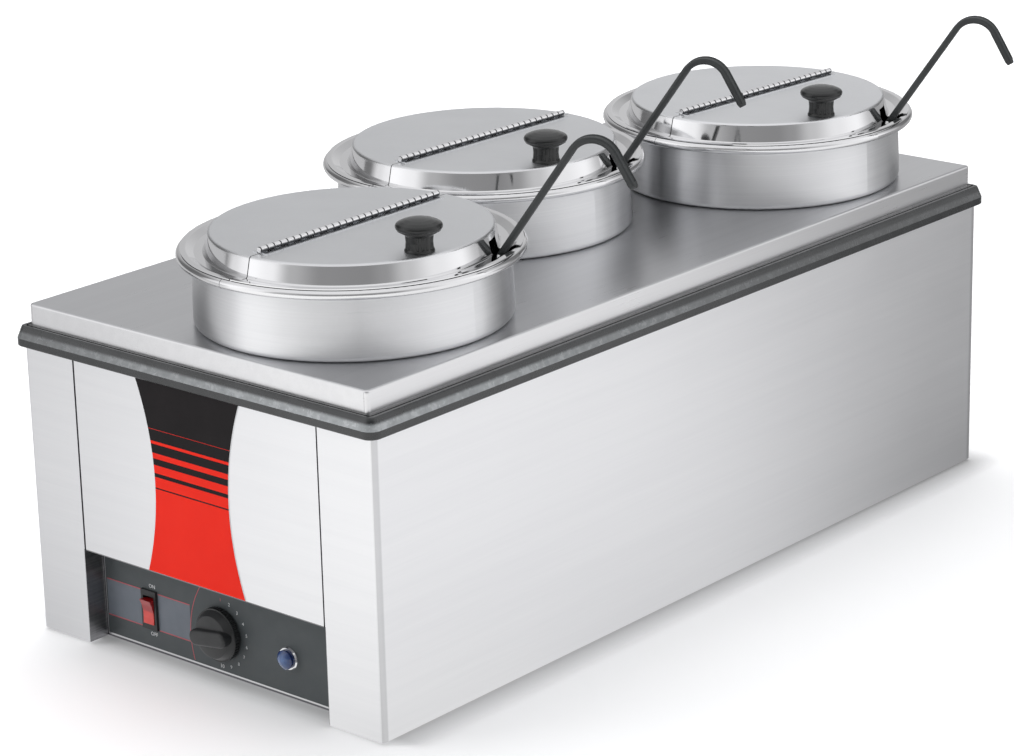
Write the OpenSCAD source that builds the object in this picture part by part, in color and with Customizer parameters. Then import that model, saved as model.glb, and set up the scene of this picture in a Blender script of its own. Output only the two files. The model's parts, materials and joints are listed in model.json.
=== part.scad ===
// Countertop food warmer with three round insets, each with a hinged
// cover and a ladle. Sizes are in millimetres.
// Frame: X to the right along the short front, Y back along the length,
// Z up. The origin is on the table under the middle of the case.

/* [Case] */
// Width of the case across its front
case_width = 350; // [270:1:430]
// Length of the case from front to back
case_length = 738; // [600:1:900]
// Height of the case from its lower edge to the top of its black rim
case_height = 240; // [200:1:290]
// Sheet thickness of the case
case_sheet = 1; // [0.8:0.1:1.5]
// Outside radius of the upright corners of the case
case_corner = 3; // [2:0.5:8]
// Width of the sheet-metal post on each side of the front
post_width = 51.5; // [40:0.5:60]
// Height of the recess that holds the controls
recess_height = 74; // [68:1:80]
// Depth of the recess that holds the controls
recess_depth = 18; // [15:1:22]
// Height of the rubber feet below the case
foot_height = 2; // [2:0.5:12]

/* [Rim and well] */
// How far the black rim stands out past the case
rim_outset = 6; // [3:0.5:10]
// Height of the outer face of the black rim
rim_drop = 15; // [12:1:20]
// Height of the floor of the well above the control recess
well_lift = 11; // [10:0.5:40]
// Clear distance between the case and the well at the sides
well_side_gap = 22; // [20:1:30]
// Clear distance between the case and the well at the ends
well_end_gap = 17; // [16:1:25]

/* [Adapter plate] */
// Height of the folded skirt of the plate
plate_skirt = 17; // [12:1:25]
// How far the plate is set in from the sides of the case
plate_inset_side = 5; // [4:0.5:8]
// How far the plate is set in from the ends of the case
plate_inset_end = 2.5; // [2:0.5:6]
// Sheet thickness of the plate
plate_sheet = 1; // [0.8:0.1:1.5]

/* [Insets] */
// Clearance between the rolled beads of neighbouring insets
bead_gap = 4.77; // [2:0.01:20]
// Clearance between a bead and the side of the case, seen from above
bead_side_gap = 5.5; // [4:0.5:12]
// How far the end insets may reach past the end of the case
bead_end_reach = 0.5; // [-10:0.5:1]
// Height from the plate to the top of the rolled bead
neck_height = 54.9; // [40:0.1:66]
// Radius of the rolled bead itself
bead_radius = 3.5; // [3:0.1:4.5]
// Sheet thickness of an inset
inset_sheet = 1; // [0.8:0.1:1.5]
// Gap between the body of an inset and its hole in the plate
hole_gap = 1.5; // [1:0.1:3]
// Clearance between a neck and the plate it stands on
seat_gap = 0.05; // [0.02:0.01:0.3]
// Height of an inset's bottom above the floor of the well
water_gap = 12; // [8:1:25]
// Turn of the front, middle and rear inset about its own axis
inset_turn = [0, -2, -4]; // [-30:1:30]

/* [Covers] */
// Height of the flat top of a cover above the rolled bead
cover_height = 12.6; // [10:0.1:18]
// Sheet thickness of a cover
cover_sheet = 0.8; // [0.6:0.1:1.2]
// Width of the gap between the two halves of a cover
split_gap = 0.8; // [0.6:0.1:2]
// Outside radius of the hinge knuckles
knuckle_radius = 2.2; // [2:0.1:3]
// Distance from the ends of the hinge to the edge of the flat top
hinge_end_gap = 10; // [6:0.5:30]
// Number of knuckles on each half of the hinge
knuckle_pairs = 14; // [8:1:16]
// Direction of the cover's knob, turned from the middle of the flap
knob_turn = -14.5; // [-25:0.5:25]
// Width of the notch for the ladle
notch_width = 17; // [14:0.5:24]

/* [Ladles] */
// Direction of the ladle, turned from the middle of the flap
ladle_turn = 25.8; // [15:0.1:45]
// Distance between the ladle's bowl and the far wall of the inset
bowl_wall_gap = 15.3; // [4:0.1:40]
// Outside radius of the ladle's bowl
bowl_radius = 38; // [28:0.5:44]
// Height of the top of the hook above the bead
hook_rise = 85.6; // [60:0.1:120]
// Bend radius of the hook along its middle line
hook_radius = 18; // [12:0.5:25]
// Angle that the hook bends through
hook_bend = 117.6; // [90:0.1:150]
// Length of the straight end of the hook
hook_end = 24; // [10:0.5:40]
// Thickness of the handle
handle_thick = 5.2; // [4.6:0.1:7]
// Width of the handle
handle_width = 10; // [8:0.1:14]

/* [Controls] */
// Distance of the rocker from the middle of the front
rocker_side = 74.5; // [45:0.5:84]
// Distance of the lamp from the middle of the front
lamp_side = 69; // [35:0.5:80]
// Height of the heat knob and the rocker above the case's lower edge
dial_height = 33; // [30:0.5:40]
// Radius of the skirt of the heat knob
dial_radius = 20; // [15:0.5:24]
// Resting turn of the heat knob
dial_turn = 0; // [0:1:300]
// Tilt of the rocker from its middle to either side
rocker_tilt = 9; // [6:0.5:12]

/* [Preview] */
// Show every node, or one node by its name

/* [Hidden] */
$fn = 96;
base_z = foot_height;
rim_top = foot_height + case_height;
rim_slab = 6;
case_top = rim_top - rim_slab;
plate_top = rim_top + plate_skirt;
front_y = -case_length / 2;
back_y = case_length / 2;
side_x = case_width / 2;
opening_x = side_x - post_width;
recess_top = base_z + recess_height;
panel_y = front_y + recess_depth;
panel_w = 2 * opening_x - 1;
seam_y = back_y - case_corner;

well_w = case_width - 2 * well_side_gap;
well_l = case_length - 2 * well_end_gap;
well_sheet = 1;
well_corner = 22;
pan_z = recess_top + well_lift;
well_under = pan_z - well_sheet;

plate_w = case_width - 2 * plate_inset_side;
plate_l = case_length - 2 * plate_inset_end;

// The beads are as large as their clearances let three of them be: the
// zigzag's two legs and the distance of two beads make a right triangle.
fit_a = side_x - bead_side_gap;
fit_b = back_y + bead_end_reach;
fit_sum = 8 * fit_a + 2 * fit_b + 4 * bead_gap;
fit_rest = 4 * fit_a * fit_a + fit_b * fit_b - bead_gap * bead_gap;
bead_out = (fit_sum - sqrt(fit_sum * fit_sum - 4 * fit_rest)) / 2;
stagger = fit_a - bead_out;
pitch = fit_b - bead_out;
inset_x = [stagger, -stagger, stagger];
inset_y = [-pitch, 0, pitch];

bead_r = bead_out - bead_radius;
bead_top = plate_top + neck_height;
bead_z = bead_top - bead_radius;
flare_r = 8.5;
flare_x = bead_r - 0.7;
flare_z = bead_top - flare_r;
neck_in = flare_x - flare_r;
neck_out = neck_in + inset_sheet;
neck_foot = neck_out + 1.5;
foot_round = 4.5;
body_r = neck_foot - 11.3;
body_in = body_r - inset_sheet;
hole_r = body_r + hole_gap;
seat_z = plate_top + seat_gap;
inset_bottom = pan_z + water_gap;
inset_floor = inset_bottom + inset_sheet;
inset_round = 16;

cover_top = bead_top + cover_height;
cover_flat_r = bead_out - 23.5;
flange_z = bead_top + 0.3;
cover_r = bead_out - 3;
hinge_z = cover_top + knuckle_radius + 0.3;
hinge_length = 2 * (cover_flat_r - hinge_end_gap);
knuckle_pitch = hinge_length / (2 * knuckle_pairs);
knob_r = cover_flat_r - 14;

mouth_u = neck_in - 4.2;
mouth_z = bead_top - 5.9;
bowl_z = inset_floor + 0.3 + bowl_radius;
// The handle leaves through the mouth while the bowl keeps its distance
// from the far wall: reach * cos(lean) - drop * sin(lean) = bowl_radius.
drop = mouth_z - bowl_z;
reach = mouth_u + body_in - bowl_wall_gap - bowl_radius;
lean = acos(bowl_radius / sqrt(reach * reach + drop * drop)) - atan2(drop, reach);
root_z = bowl_z - bowl_radius * sin(lean);
root_u = mouth_u - (mouth_z - root_z) * tan(lean);
bowl_u = root_u - bowl_radius * cos(lean);
hook_z = bead_top + hook_rise - hook_radius - handle_thick / 2;
bend_z = hook_z + hook_radius * sin(lean);
bend_u = mouth_u + (bend_z - mouth_z) * tan(lean);
hook_u = bend_u + hook_radius * cos(lean);
shaft_length = (bend_z - root_z) / cos(lean);
grip_start = (mouth_z - root_z) / cos(lean) - 45;

dial_z = base_z + dial_height;
rocker_x = -rocker_side;
lamp_x = lamp_side;
lamp_z = base_z + 31.3;
overlay_sheet = 0.3;
overlay_y = panel_y - overlay_sheet;
pivot_y = overlay_y + 1.8;

// Helpers

module rounded_outline(w, l, r) {
  square([w - 2 * r, l], center = true);
  square([w, l - 2 * r], center = true);
  for (sx = [-1, 1])
    for (sy = [-1, 1])
      translate([sx * (w / 2 - r), sy * (l / 2 - r)])
        circle(r = r);
}

module rounded_block(w, l, r, z0, z1) {
  translate([0, 0, z0])
    linear_extrude(z1 - z0)
      rounded_outline(w, l, r);
}

// A box between two opposite corners.
module span(a, b) {
  translate(a)
    cube(b - a);
}

// Sweeps a flat profile round a rounded rectangle. The profile's zero is
// the centre line of the corners, and its height is Z.
module swept_frame(w, l, r) {
  for (s = [0, 180])
    rotate([0, 0, s])
      translate([w / 2 - r, l / 2 - r, 0])
        rotate([90, 0, 0])
          linear_extrude(l - 2 * r)
            children();
  for (s = [0, 180])
    rotate([0, 0, s])
      translate([-(w / 2 - r), l / 2 - r, 0])
        rotate([90, 0, 90])
          linear_extrude(w - 2 * r)
            children();
  for (s = [0, 180]) {
    rotate([0, 0, s])
      translate([w / 2 - r, l / 2 - r, 0])
        rotate_extrude(angle = 90)
          children();
    rotate([0, 0, s])
      translate([-(w / 2 - r), l / 2 - r, 0])
        rotate([0, 0, 90])
          rotate_extrude(angle = 90)
            children();
  }
}

module at_inset(i) {
  translate([inset_x[i], inset_y[i], 0])
    rotate([0, 0, inset_turn[i]])
      children();
}

// A cylinder along Y from y0 to y1.
module along_y(x, z, r, y0, y1) {
  translate([x, y1, z])
    rotate([90, 0, 0])
      cylinder(r = r, h = y1 - y0);
}

module case_left() {
  color([0.9, 0.9, 0.91])
    case_side(-1);
}

module case_right() {
  color([0.9, 0.9, 0.91])
    case_side(1);
}

// A side of the case with its rounded front post, its return into the
// front, and its flanges. Side 1 is the right one.
module case_side(s) {
  intersection() {
    union() {
      case_wrap();
      case_returns();
      case_flanges();
    }
    translate([s * (side_x / 2 + 20), (seam_y + front_y) / 2 - 10, (base_z + case_top) / 2])
      cube([side_x, seam_y - front_y + 20, case_height + 20], center = true);
  }
}

module case_back() {
  color([0.9, 0.9, 0.91])
    difference() {
      union() {
        intersection() {
          case_wrap();
          span([-side_x - 1, seam_y, base_z - 1], [side_x + 1, back_y + 1, case_top + 1]);
        }
        span([-side_x + 13, back_y - 13, base_z], [side_x - 13, back_y - 0.5, base_z + 1]);
        span([-side_x + 13, back_y - 10, case_top - 1], [side_x - 13, back_y - 0.5, case_top]);
      }
      along_y(-110, base_z + 40, 9, back_y - 5, back_y + 5);
    }
}

module case_wrap() {
  difference() {
    rounded_block(case_width, case_length, case_corner, base_z, case_top);
    rounded_block(case_width - 2 * case_sheet, case_length - 2 * case_sheet, case_corner - case_sheet,
      base_z - 1, case_top + 1);
    span([-opening_x, front_y - 1, base_z - 1], [opening_x, front_y + 10, case_top + 1]);
  }
}

module case_returns() {
  for (m = [0, 1])
    mirror([m, 0, 0]) {
      span([opening_x, front_y, base_z], [opening_x + case_sheet, panel_y + 2, recess_top + 1]);
      span([opening_x, front_y, recess_top], [opening_x + case_sheet, front_y + 8, case_top]);
      span([opening_x - 12, panel_y + 1, base_z], [opening_x + 1, panel_y + 2, recess_top]);
      span([opening_x - 12, front_y + 7, recess_top + 2], [opening_x + 1, front_y + 8, case_top]);
    }
}

module case_flanges() {
  for (m = [0, 1])
    mirror([m, 0, 0]) {
      span([side_x - 13, front_y + 3, base_z], [side_x - 0.5, seam_y, base_z + 1]);
      span([side_x - 10, front_y + 3, case_top - 1], [side_x - 0.5, seam_y, case_top]);
      span([opening_x + 0.5, front_y + 0.5, base_z], [side_x - 3, front_y + 13, base_z + 1]);
    }
}

module front_panel() {
  color([0.92, 0.92, 0.93])
    folded_front();
}

module folded_front() {
  half = opening_x - 1.5;
  face_y = front_y + 0.2;
  span([-half, face_y, recess_top], [half, face_y + 1, case_top - 0.5]);
  for (m = [0, 1])
    mirror([m, 0, 0])
      span([half - 1, face_y + 0.5, recess_top], [half, front_y + 7, case_top - 0.5]);
  span([-half, face_y + 0.5, recess_top], [half, panel_y + 1, recess_top + 1]);
}

module front_badge() {
  color([0.75, 0.12, 0.1])
    translate([-4.5, front_y + 0.2, (recess_top + case_top - 13) / 2])
      rotate([90, 0, 0])
        linear_extrude(0.4)
          rounded_outline(100, case_top - 15 - recess_top, 7);
}

module control_panel() {
  color([0.8, 0.8, 0.82])
    difference() {
      span([-panel_w / 2, panel_y, base_z], [panel_w / 2, panel_y + 1, recess_top]);
      control_holes(panel_y - 1, panel_y + 2);
    }
}

module control_holes(y0, y1) {
  span([rocker_x - 6.6, y0, dial_z - 13.6], [rocker_x + 6.6, y1, dial_z + 13.6]);
  along_y(0, dial_z, 5.2, y0, y1);
  along_y(lamp_x, lamp_z, 6.2, y0, y1);
}

module control_overlay() {
  color([0.2, 0.21, 0.22])
    difference() {
      span([-panel_w / 2 + 1, overlay_y, base_z + 3], [panel_w / 2 - 1, panel_y, recess_top - 1]);
      control_holes(overlay_y - 1, panel_y + 1);
    }
}

module base_pan() {
  color([0.72, 0.73, 0.75])
    difference() {
      union() {
        span([-side_x + 2, panel_y + 2.2, base_z + 1], [side_x - 2, back_y - 2, base_z + 2]);
        span([-opening_x + 13, panel_y + 1, base_z + 1], [opening_x - 13, panel_y + 2, base_z + 13]);
        span([-opening_x + 13, panel_y + 1, base_z + 1], [opening_x - 13, panel_y + 3, base_z + 2]);
      }
      for (sx = [-1, 1])
        for (sy = [-1, 1])
          translate([sx * (side_x - 36), sy * (back_y - 45), base_z])
            cylinder(r = 3.4, h = 4);
      for (i = [-4 : 4])
        span([i * 22 - 2, 60, base_z], [i * 22 + 2, 110, base_z + 4]);
      for (i = [-4 : 4])
        span([i * 22 - 2, -110, base_z], [i * 22 + 2, -60, base_z + 4]);
    }
}

module feet() {
  color([0.08, 0.08, 0.08])
    for (sx = [-1, 1])
      for (sy = [-1, 1])
        translate([sx * (side_x - 36), sy * (back_y - 45), 0])
          rubber_foot();
}

module rubber_foot() {
  cylinder(r = 11, h = base_z + 1);
  translate([0, 0, base_z])
    cylinder(r = 3.2, h = 3.5);
  translate([0, 0, base_z + 2])
    cylinder(r = 4.6, h = 2.5);
}

module well_rim() {
  color([0.1, 0.1, 0.11])
    difference() {
      resin_rim();
      rim_corner_blocks();
    }
}

module rim_corners() {
  color([0.1, 0.1, 0.11])
    intersection() {
      resin_rim();
      rim_corner_blocks();
    }
}

// The frame is moulded in four straight bars and four corners, which part
// just outside the rounding of the well's mouth.
module rim_corner_blocks() {
  x = well_w / 2 - 1 - well_corner - 0.5;
  y = well_l / 2 - 1 - well_corner - 0.5;
  for (sx = [-1, 1])
    for (sy = [-1, 1])
      translate([sx * (x + 50), sy * (y + 50), rim_top])
        cube([100, 100, 60], center = true);
}

// The skirted black frame: its nose is swept round the case, and its
// slab carries the flange of the well.
module resin_rim() {
  r = case_corner;
  difference() {
    union() {
      swept_frame(case_width, case_length, r)
        rim_nose();
      rounded_block(case_width - 2 * r + 1, case_length - 2 * r + 1, 1, case_top, rim_top);
    }
    rounded_block(case_width + 0.4, case_length + 0.4, r + 0.2, rim_top - rim_drop - 1, case_top);
    rounded_block(well_w - 2, well_l - 2, well_corner, case_top - 1, rim_top + 1);
    difference() {
      rounded_block(case_width - 2.4, case_length - 0.6, 3, rim_top - 1.5, rim_top + 1);
      rounded_block(case_width - 5, case_length - 3.2, 2, rim_top - 2, rim_top + 2);
    }
  }
}

module rim_nose() {
  low = rim_top - rim_drop;
  out = case_corner + rim_outset;
  polygon([[0, low], [out - 0.6, low], [out, low + 0.6], [out, low + 6], [out - 0.4, low + 6.8],
    [case_corner + 2.9, rim_top - 1.6], [case_corner + 2.2, rim_top - 0.4], [case_corner + 1.2, rim_top],
    [0, rim_top]]);
}

// The well has flat walls, which end in the flange that lies on the rim,
// and rounded corners welded in between them.
module well_pan() {
  color([0.78, 0.79, 0.8])
    difference() {
      well_wall();
      well_corner_blocks();
    }
}

module well_corners() {
  color([0.78, 0.79, 0.8])
    intersection() {
      well_wall();
      well_corner_blocks();
    }
}

module well_wall() {
  difference() {
    union() {
      rounded_block(well_w - 4, well_l - 4, well_corner - 2, well_under + 12, rim_top + 1);
      rounded_block(well_w + 24, well_l + 20, 8, rim_top, rim_top + 1);
    }
    rounded_block(well_w - 6, well_l - 6, well_corner - 3, well_under, rim_top + 2);
  }
}

module well_corner_blocks() {
  for (sx = [-1, 1])
    for (sy = [-1, 1])
      translate([sx * well_w / 2, sy * well_l / 2, (well_under + rim_top) / 2])
        cube([2 * well_corner, 2 * well_corner, rim_top - well_under + 20], center = true);
}

module well_floor() {
  color([0.78, 0.79, 0.8])
    pan_floor();
}

// The floor meets the walls of the well in a drawn radius.
module pan_floor() {
  w = well_w - 4;
  l = well_l - 4;
  c = well_corner - 2;
  swept_frame(w, l, c)
    pan_corner();
  rounded_block(w - 2 * c + 1, l - 2 * c + 1, 0.5, well_under, pan_z);
}

module pan_corner() {
  c = well_corner - 2;
  intersection() {
    translate([c - 12, well_under + 12])
      difference() {
        circle(r = 12);
        circle(r = 12 - well_sheet);
      }
    translate([c - 12, well_under])
      square([12, 12]);
  }
  translate([0, well_under])
    square([c - 12, well_sheet]);
}

module insulation() {
  color([0.85, 0.8, 0.6])
    difference() {
      rounded_block(well_w + 22, well_l + 13, 12, pan_z + 10, case_top - 4);
      rounded_block(well_w - 3.2, well_l - 3.2, well_corner - 1.6, pan_z, case_top);
    }
}

element_x = well_w / 2 - 50;
element_y = well_l / 2 - 72;
element_z = well_under - 3.3;

// The tube is pressed flat on top, where it lies against the well.
module element_section() {
  intersection() {
    circle(r = 4);
    translate([-5, -5])
      square([10, 8.3]);
  }
}

module element_run(x) {
  translate([x, element_y, element_z])
    rotate([90, 0, 0])
      linear_extrude(2 * element_y)
        element_section();
}

module element_bend(x, y, turn) {
  translate([x, y, element_z])
    rotate([0, 0, turn])
      rotate_extrude(angle = 180)
        translate([element_x / 3, 0])
          element_section();
}

module heating_element() {
  color([0.35, 0.33, 0.32]) {
    for (i = [-1.5, -0.5, 0.5, 1.5])
      element_run(i * 2 * element_x / 3);
    element_bend(-2 * element_x / 3, element_y, 0);
    element_bend(2 * element_x / 3, element_y, 0);
    element_bend(0, -element_y, 180);
    for (s = [-1, 1])
      along_y(s * element_x, element_z, 2, -element_y - 25, -element_y);
  }
}

module element_clamps() {
  color([0.7, 0.7, 0.72])
    for (y = [-0.55, 0, 0.55])
      translate([0, y * element_y, 0]) {
        span([-element_x - 18, -9, element_z - 5.3], [element_x + 18, 9, element_z - 4.3]);
        for (s = [-1, 1])
          translate([s * (element_x + 12), 0, 0])
            span([-6, -9, element_z - 4.8], [6, 9, well_under]);
      }
}

module thermostat() {
  color([0.75, 0.72, 0.68])
    difference() {
      union() {
        span([-19, panel_y + 1, dial_z - 17], [19, panel_y + 28, dial_z + 17]);
        along_y(0, dial_z, 5, panel_y - 1, panel_y + 2);
      }
      along_y(0, dial_z, 3.05, panel_y - 2, panel_y + 20);
    }
}

// The sensing bulb lies under the well and its thin tube comes forward
// to the thermostat.
module heat_sensor() {
  color([0.72, 0.45, 0.3]) {
    low = dial_z + 26;
    y0 = -element_y + 15;
    y1 = panel_y + 14;
    along_y(0, well_under - 3.3, 3, -110, -30);
    along_y(0, well_under - 3.3, 1.2, y0, -100);
    translate([0, y0, well_under - 3.3])
      sphere(r = 1.2);
    translate([0, y0, low])
      cylinder(r = 1.2, h = well_under - 3.3 - low);
    translate([0, y0, low])
      sphere(r = 1.2);
    along_y(0, low, 1.2, y1, y0);
    translate([0, y1, low])
      sphere(r = 1.2);
    translate([0, y1, dial_z + 17])
      cylinder(r = 1.2, h = low - dial_z - 17);
  }
}

module switch_frame() {
  color([0.07, 0.07, 0.08])
    difference() {
      union() {
        span([rocker_x - 7.8, overlay_y - 2, dial_z - 15.5], [rocker_x + 7.8, overlay_y, dial_z + 15.5]);
        span([rocker_x - 6.4, overlay_y - 1, dial_z - 13.4], [rocker_x + 6.4, panel_y + 24, dial_z + 13.4]);
      }
      span([rocker_x - 5.6, overlay_y - 3, dial_z - 11], [rocker_x + 5.6, overlay_y + 11, dial_z + 11]);
      translate([rocker_x - 6.2, pivot_y, dial_z])
        rotate([0, 90, 0])
          cylinder(r = 1.05, h = 12.4);
    }
  color([0.8, 0.75, 0.6])
    for (k = [-8, 0, 8])
      span([rocker_x - 3, panel_y + 23.5, dial_z + k - 0.4], [rocker_x + 3, panel_y + 33, dial_z + k + 0.4]);
}

module switch_rocker() {
  color([0.85, 0.1, 0.08])
    translate([rocker_x, pivot_y, dial_z])
      rotate([rocker_tilt, 0, 0]) {
        translate([-5.4, 0, 0])
          rotate([90, 0, 90])
            linear_extrude(10.8)
              polygon([[-6.3, 10], [-5.1, 5], [-4.6, 0], [-5.1, -5], [-6.3, -10], [1.5, -8], [1.5, 8]]);
        translate([-6.1, 0, 0])
          rotate([0, 90, 0])
            cylinder(r = 1, h = 12.2);
      }
}

module thermostat_shaft() {
  color([0.7, 0.7, 0.72])
    difference() {
      along_y(0, dial_z, 3, overlay_y - 14, panel_y + 15);
      span([-4, overlay_y - 15, dial_z + 1.5], [4, overlay_y - 3, dial_z + 4]);
    }
}

module heat_knob() {
  color([0.09, 0.09, 0.1])
    translate([0, overlay_y - 1.2, dial_z])
      rotate([90, -dial_turn, 0])
        bar_knob();
}

// A round skirt with a raised grip bar that points to the left.
module bar_knob() {
  difference() {
    union() {
      rotate_extrude()
        polygon([[0, 0], [dial_radius, 0], [dial_radius, 1.6], [dial_radius - 1, 6.4],
          [dial_radius - 2.2, 7.4], [0, 8]]);
      linear_extrude(19)
        intersection() {
          circle(r = dial_radius - 0.6);
          square([2 * dial_radius, 11], center = true);
        }
    }
    translate([0, 0, -1])
      cylinder(r = 3.02, h = 14);
    translate([-dial_radius - 1, -6, 20])
      rotate([0, 18, 0])
        cube([12, 12, 14], center = false);
    translate([dial_radius - 2, -6, 17])
      rotate([0, -18, 0])
        cube([12, 12, 14], center = false);
  }
}

module lamp_bezel() {
  color([0.85, 0.85, 0.87])
    translate([lamp_x, overlay_y, lamp_z])
      rotate([90, 0, 0])
        difference() {
          union() {
            rotate_extrude()
              polygon([[5, 0], [8.9, 0], [8.9, 1.4], [8.2, 2.6], [5, 2.6]]);
            translate([0, 0, -22])
              cylinder(r = 6, h = 23);
          }
          translate([0, 0, -4])
            cylinder(r = 5.2, h = 8);
          translate([0, 0, 1])
            cylinder(r = 7.5, h = 3);
        }
}

module lamp_lens() {
  color([0.1, 0.25, 0.7])
    translate([lamp_x, overlay_y, lamp_z])
      rotate([90, 0, 0]) {
        translate([0, 0, -3])
          cylinder(r = 5, h = 4.5);
        translate([0, 0, 1])
          cylinder(r = 7.3, h = 4.5);
        intersection() {
          translate([0, 0, -2.6])
            sphere(r = 10.9);
          translate([0, 0, 5.5])
            cylinder(r = 7.3, h = 6);
        }
      }
}

module terminal_block() {
  color([0.88, 0.86, 0.8])
    translate([-110, back_y - 60, base_z + 2])
      difference() {
        span([-24, -9, 0], [24, 9, 18]);
        for (i = [-1, 0, 1])
          translate([i * 14, 0, 8])
            cylinder(r = 3.2, h = 12);
        for (i = [-1.5, -0.5, 0.5, 1.5])
          span([i * 14 - 0.8, -10, 12], [i * 14 + 0.8, 10, 19]);
      }
}

module cord_gland() {
  color([0.1, 0.1, 0.1])
    difference() {
      union() {
        along_y(-110, base_z + 40, 8.8, back_y - 9, back_y + 4);
        along_y(-110, base_z + 40, 11.5, back_y, back_y + 5);
        along_y(-110, base_z + 40, 12, back_y - 7, back_y - 1);
        translate([-110, back_y + 5, base_z + 40])
          rotate([-90, 0, 0])
            cylinder(r1 = 9, r2 = 7, h = 8);
      }
      along_y(-110, base_z + 40, 4.3, back_y - 12, back_y + 15);
    }
}

module adapter_plate() {
  color([0.68, 0.69, 0.7])
    difference() {
      union() {
        swept_frame(plate_w, plate_l, 3)
          plate_edge();
        span([-plate_w / 2 + 2.5, -plate_l / 2 + 2.5, plate_top - plate_sheet],
          [plate_w / 2 - 2.5, plate_l / 2 - 2.5, plate_top]);
      }
      for (i = [0 : 2])
        translate([inset_x[i], inset_y[i], plate_top - 5])
          cylinder(r = hole_r, h = 10);
    }
}

module plate_edge() {
  t = plate_sheet;
  translate([3 - t, rim_top])
    square([t, plate_skirt - 2]);
  translate([0, plate_top - t])
    square([1, t]);
  translate([1, plate_top - 2])
    intersection() {
      difference() {
        circle(r = 2);
        circle(r = 2 - t);
      }
      square(2);
    }
}

// One inset: a deep body, and a wide neck that stands on the plate and
// flares into a rolled bead at the mouth.
module inset() {
  color([0.8, 0.81, 0.82])
    rotate_extrude()
      difference() {
        vessel_outline(body_r, inset_bottom, seat_z, inset_round);
        vessel_outline(body_in, inset_floor, seat_z + 2, inset_round - inset_sheet);
      }
}

module inset_neck() {
  color([0.8, 0.81, 0.82])
    rotate_extrude()
      neck_section();
}

module neck_section() {
  difference() {
    neck_outline(0);
    translate([0, seat_z - 1])
      square([body_in, 4]);
    neck_outline(inset_sheet);
  }
  flare_section();
  bead_section();
}

module vessel_outline(r, z0, z1, bend) {
  translate([0, z0])
    square([r - bend, z1 - z0]);
  translate([0, z0 + bend])
    square([r, z1 - z0 - bend]);
  translate([r - bend, z0 + bend])
    intersection() {
      circle(r = bend);
      translate([0, -bend])
        square(bend);
    }
}

module neck_outline(t) {
  low = seat_z + foot_round;
  polygon([[0, low], [neck_foot - t, low], [neck_foot - t - 0.2, low + 12], [neck_out - t, flare_z],
    [0, flare_z]]);
  translate([0, seat_z + t])
    square([neck_foot - foot_round, foot_round - t + 1]);
  intersection() {
    translate([neck_foot - foot_round, low])
      circle(r = foot_round - t);
    translate([neck_foot - foot_round, seat_z])
      square([foot_round, foot_round]);
  }
}

module flare_section() {
  intersection() {
    translate([flare_x, flare_z])
      difference() {
        circle(r = flare_r);
        circle(r = flare_r - inset_sheet);
      }
    translate([flare_x - flare_r, flare_z])
      square(flare_r);
  }
  translate([flare_x - 0.01, bead_top - inset_sheet])
    square([bead_r - flare_x + 0.02, inset_sheet]);
}

module bead_section() {
  difference() {
    translate([bead_r, bead_z])
      circle(r = bead_radius);
    translate([bead_r, bead_z])
      circle(r = bead_radius - inset_sheet);
    translate([bead_r, bead_z])
      polygon([[0, 0], [0, 2 * bead_radius], [-2 * bead_radius, 2 * bead_radius], [-2 * bead_radius, -1.6]]);
  }
}

module cover_disc() {
  rotate_extrude()
    cover_section();
}

function arc(x, y, r, a, b, n) = [for (i = [0 : n]) [x + r * cos(a + (b - a) * i / n),
  y + r * sin(a + (b - a) * i / n)]];

module cover_section() {
  t = cover_sheet;
  f = cover_flat_r;
  crease_z = flange_z + t - 3.1;
  upper = concat([[0, cover_top]], arc(f - 2, cover_top - 2.5, 2.5, 90, 12, 5),
    [[f + 3.4, crease_z + 0.6], [f + 4.3, crease_z - 0.3], [f + 10.5, crease_z],
    [f + 16.2, flange_z + t - 0.1], [f + 17, flange_z + t], [cover_r, flange_z + t]]);
  lower = concat([[cover_r, flange_z], [f + 17, flange_z], [f + 16.2, flange_z - 0.1],
    [f + 10.6, crease_z - t], [f + 4.1, crease_z - t - 0.3], [f + 2.7, crease_z - 0.4]],
    arc(f - 2, cover_top - 2.5, 2.5 - t, 12, 90, 4), [[0, cover_top - t]]);
  polygon(concat(upper, lower));
}

module cover_rear() {
  color([0.8, 0.81, 0.82])
    intersection() {
      cover_disc();
      span([-cover_r - 5, -cover_r - 5, bead_top - 10], [-split_gap / 2, cover_r + 5, cover_top + 5]);
    }
}

module cover_flap() {
  color([0.8, 0.81, 0.82])
    difference() {
      intersection() {
        cover_disc();
        span([split_gap / 2, -cover_r - 5, bead_top - 10], [cover_r + 5, cover_r + 5, cover_top + 5]);
      }
      rotate([0, 0, ladle_turn])
        span([cover_flat_r - 3, -notch_width / 2, bead_top - 12], [cover_r + 9, notch_width / 2, bead_top + 7]);
      rotate([0, 0, knob_turn])
        translate([knob_r, 0, cover_top - 3])
          cylinder(r = 2.3, h = 6);
    }
}

// One leaf of the long hinge: every other knuckle and a strip beside them.
module hinge_leaf(first) {
  difference() {
    union() {
      span([knuckle_radius + 0.5, -hinge_length / 2, cover_top],
        [knuckle_radius + 4.4, hinge_length / 2 - 0.2, cover_top + 0.6]);
      for (i = [first : 2 : 2 * knuckle_pairs - 1])
        translate([0, -hinge_length / 2 + i * knuckle_pitch, 0]) {
          along_y(0, hinge_z, knuckle_radius, 0, knuckle_pitch - 0.2);
          span([0.6, 0, cover_top + 0.1], [knuckle_radius + 0.7, knuckle_pitch - 0.2, cover_top + 0.6]);
        }
    }
    along_y(0, hinge_z, 1.2, -hinge_length, hinge_length);
  }
}

module hinge_front() {
  color([0.82, 0.83, 0.84])
    hinge_leaf(0);
}

module hinge_rear() {
  color([0.82, 0.83, 0.84])
    mirror([1, 0, 0])
      hinge_leaf(1);
}

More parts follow.
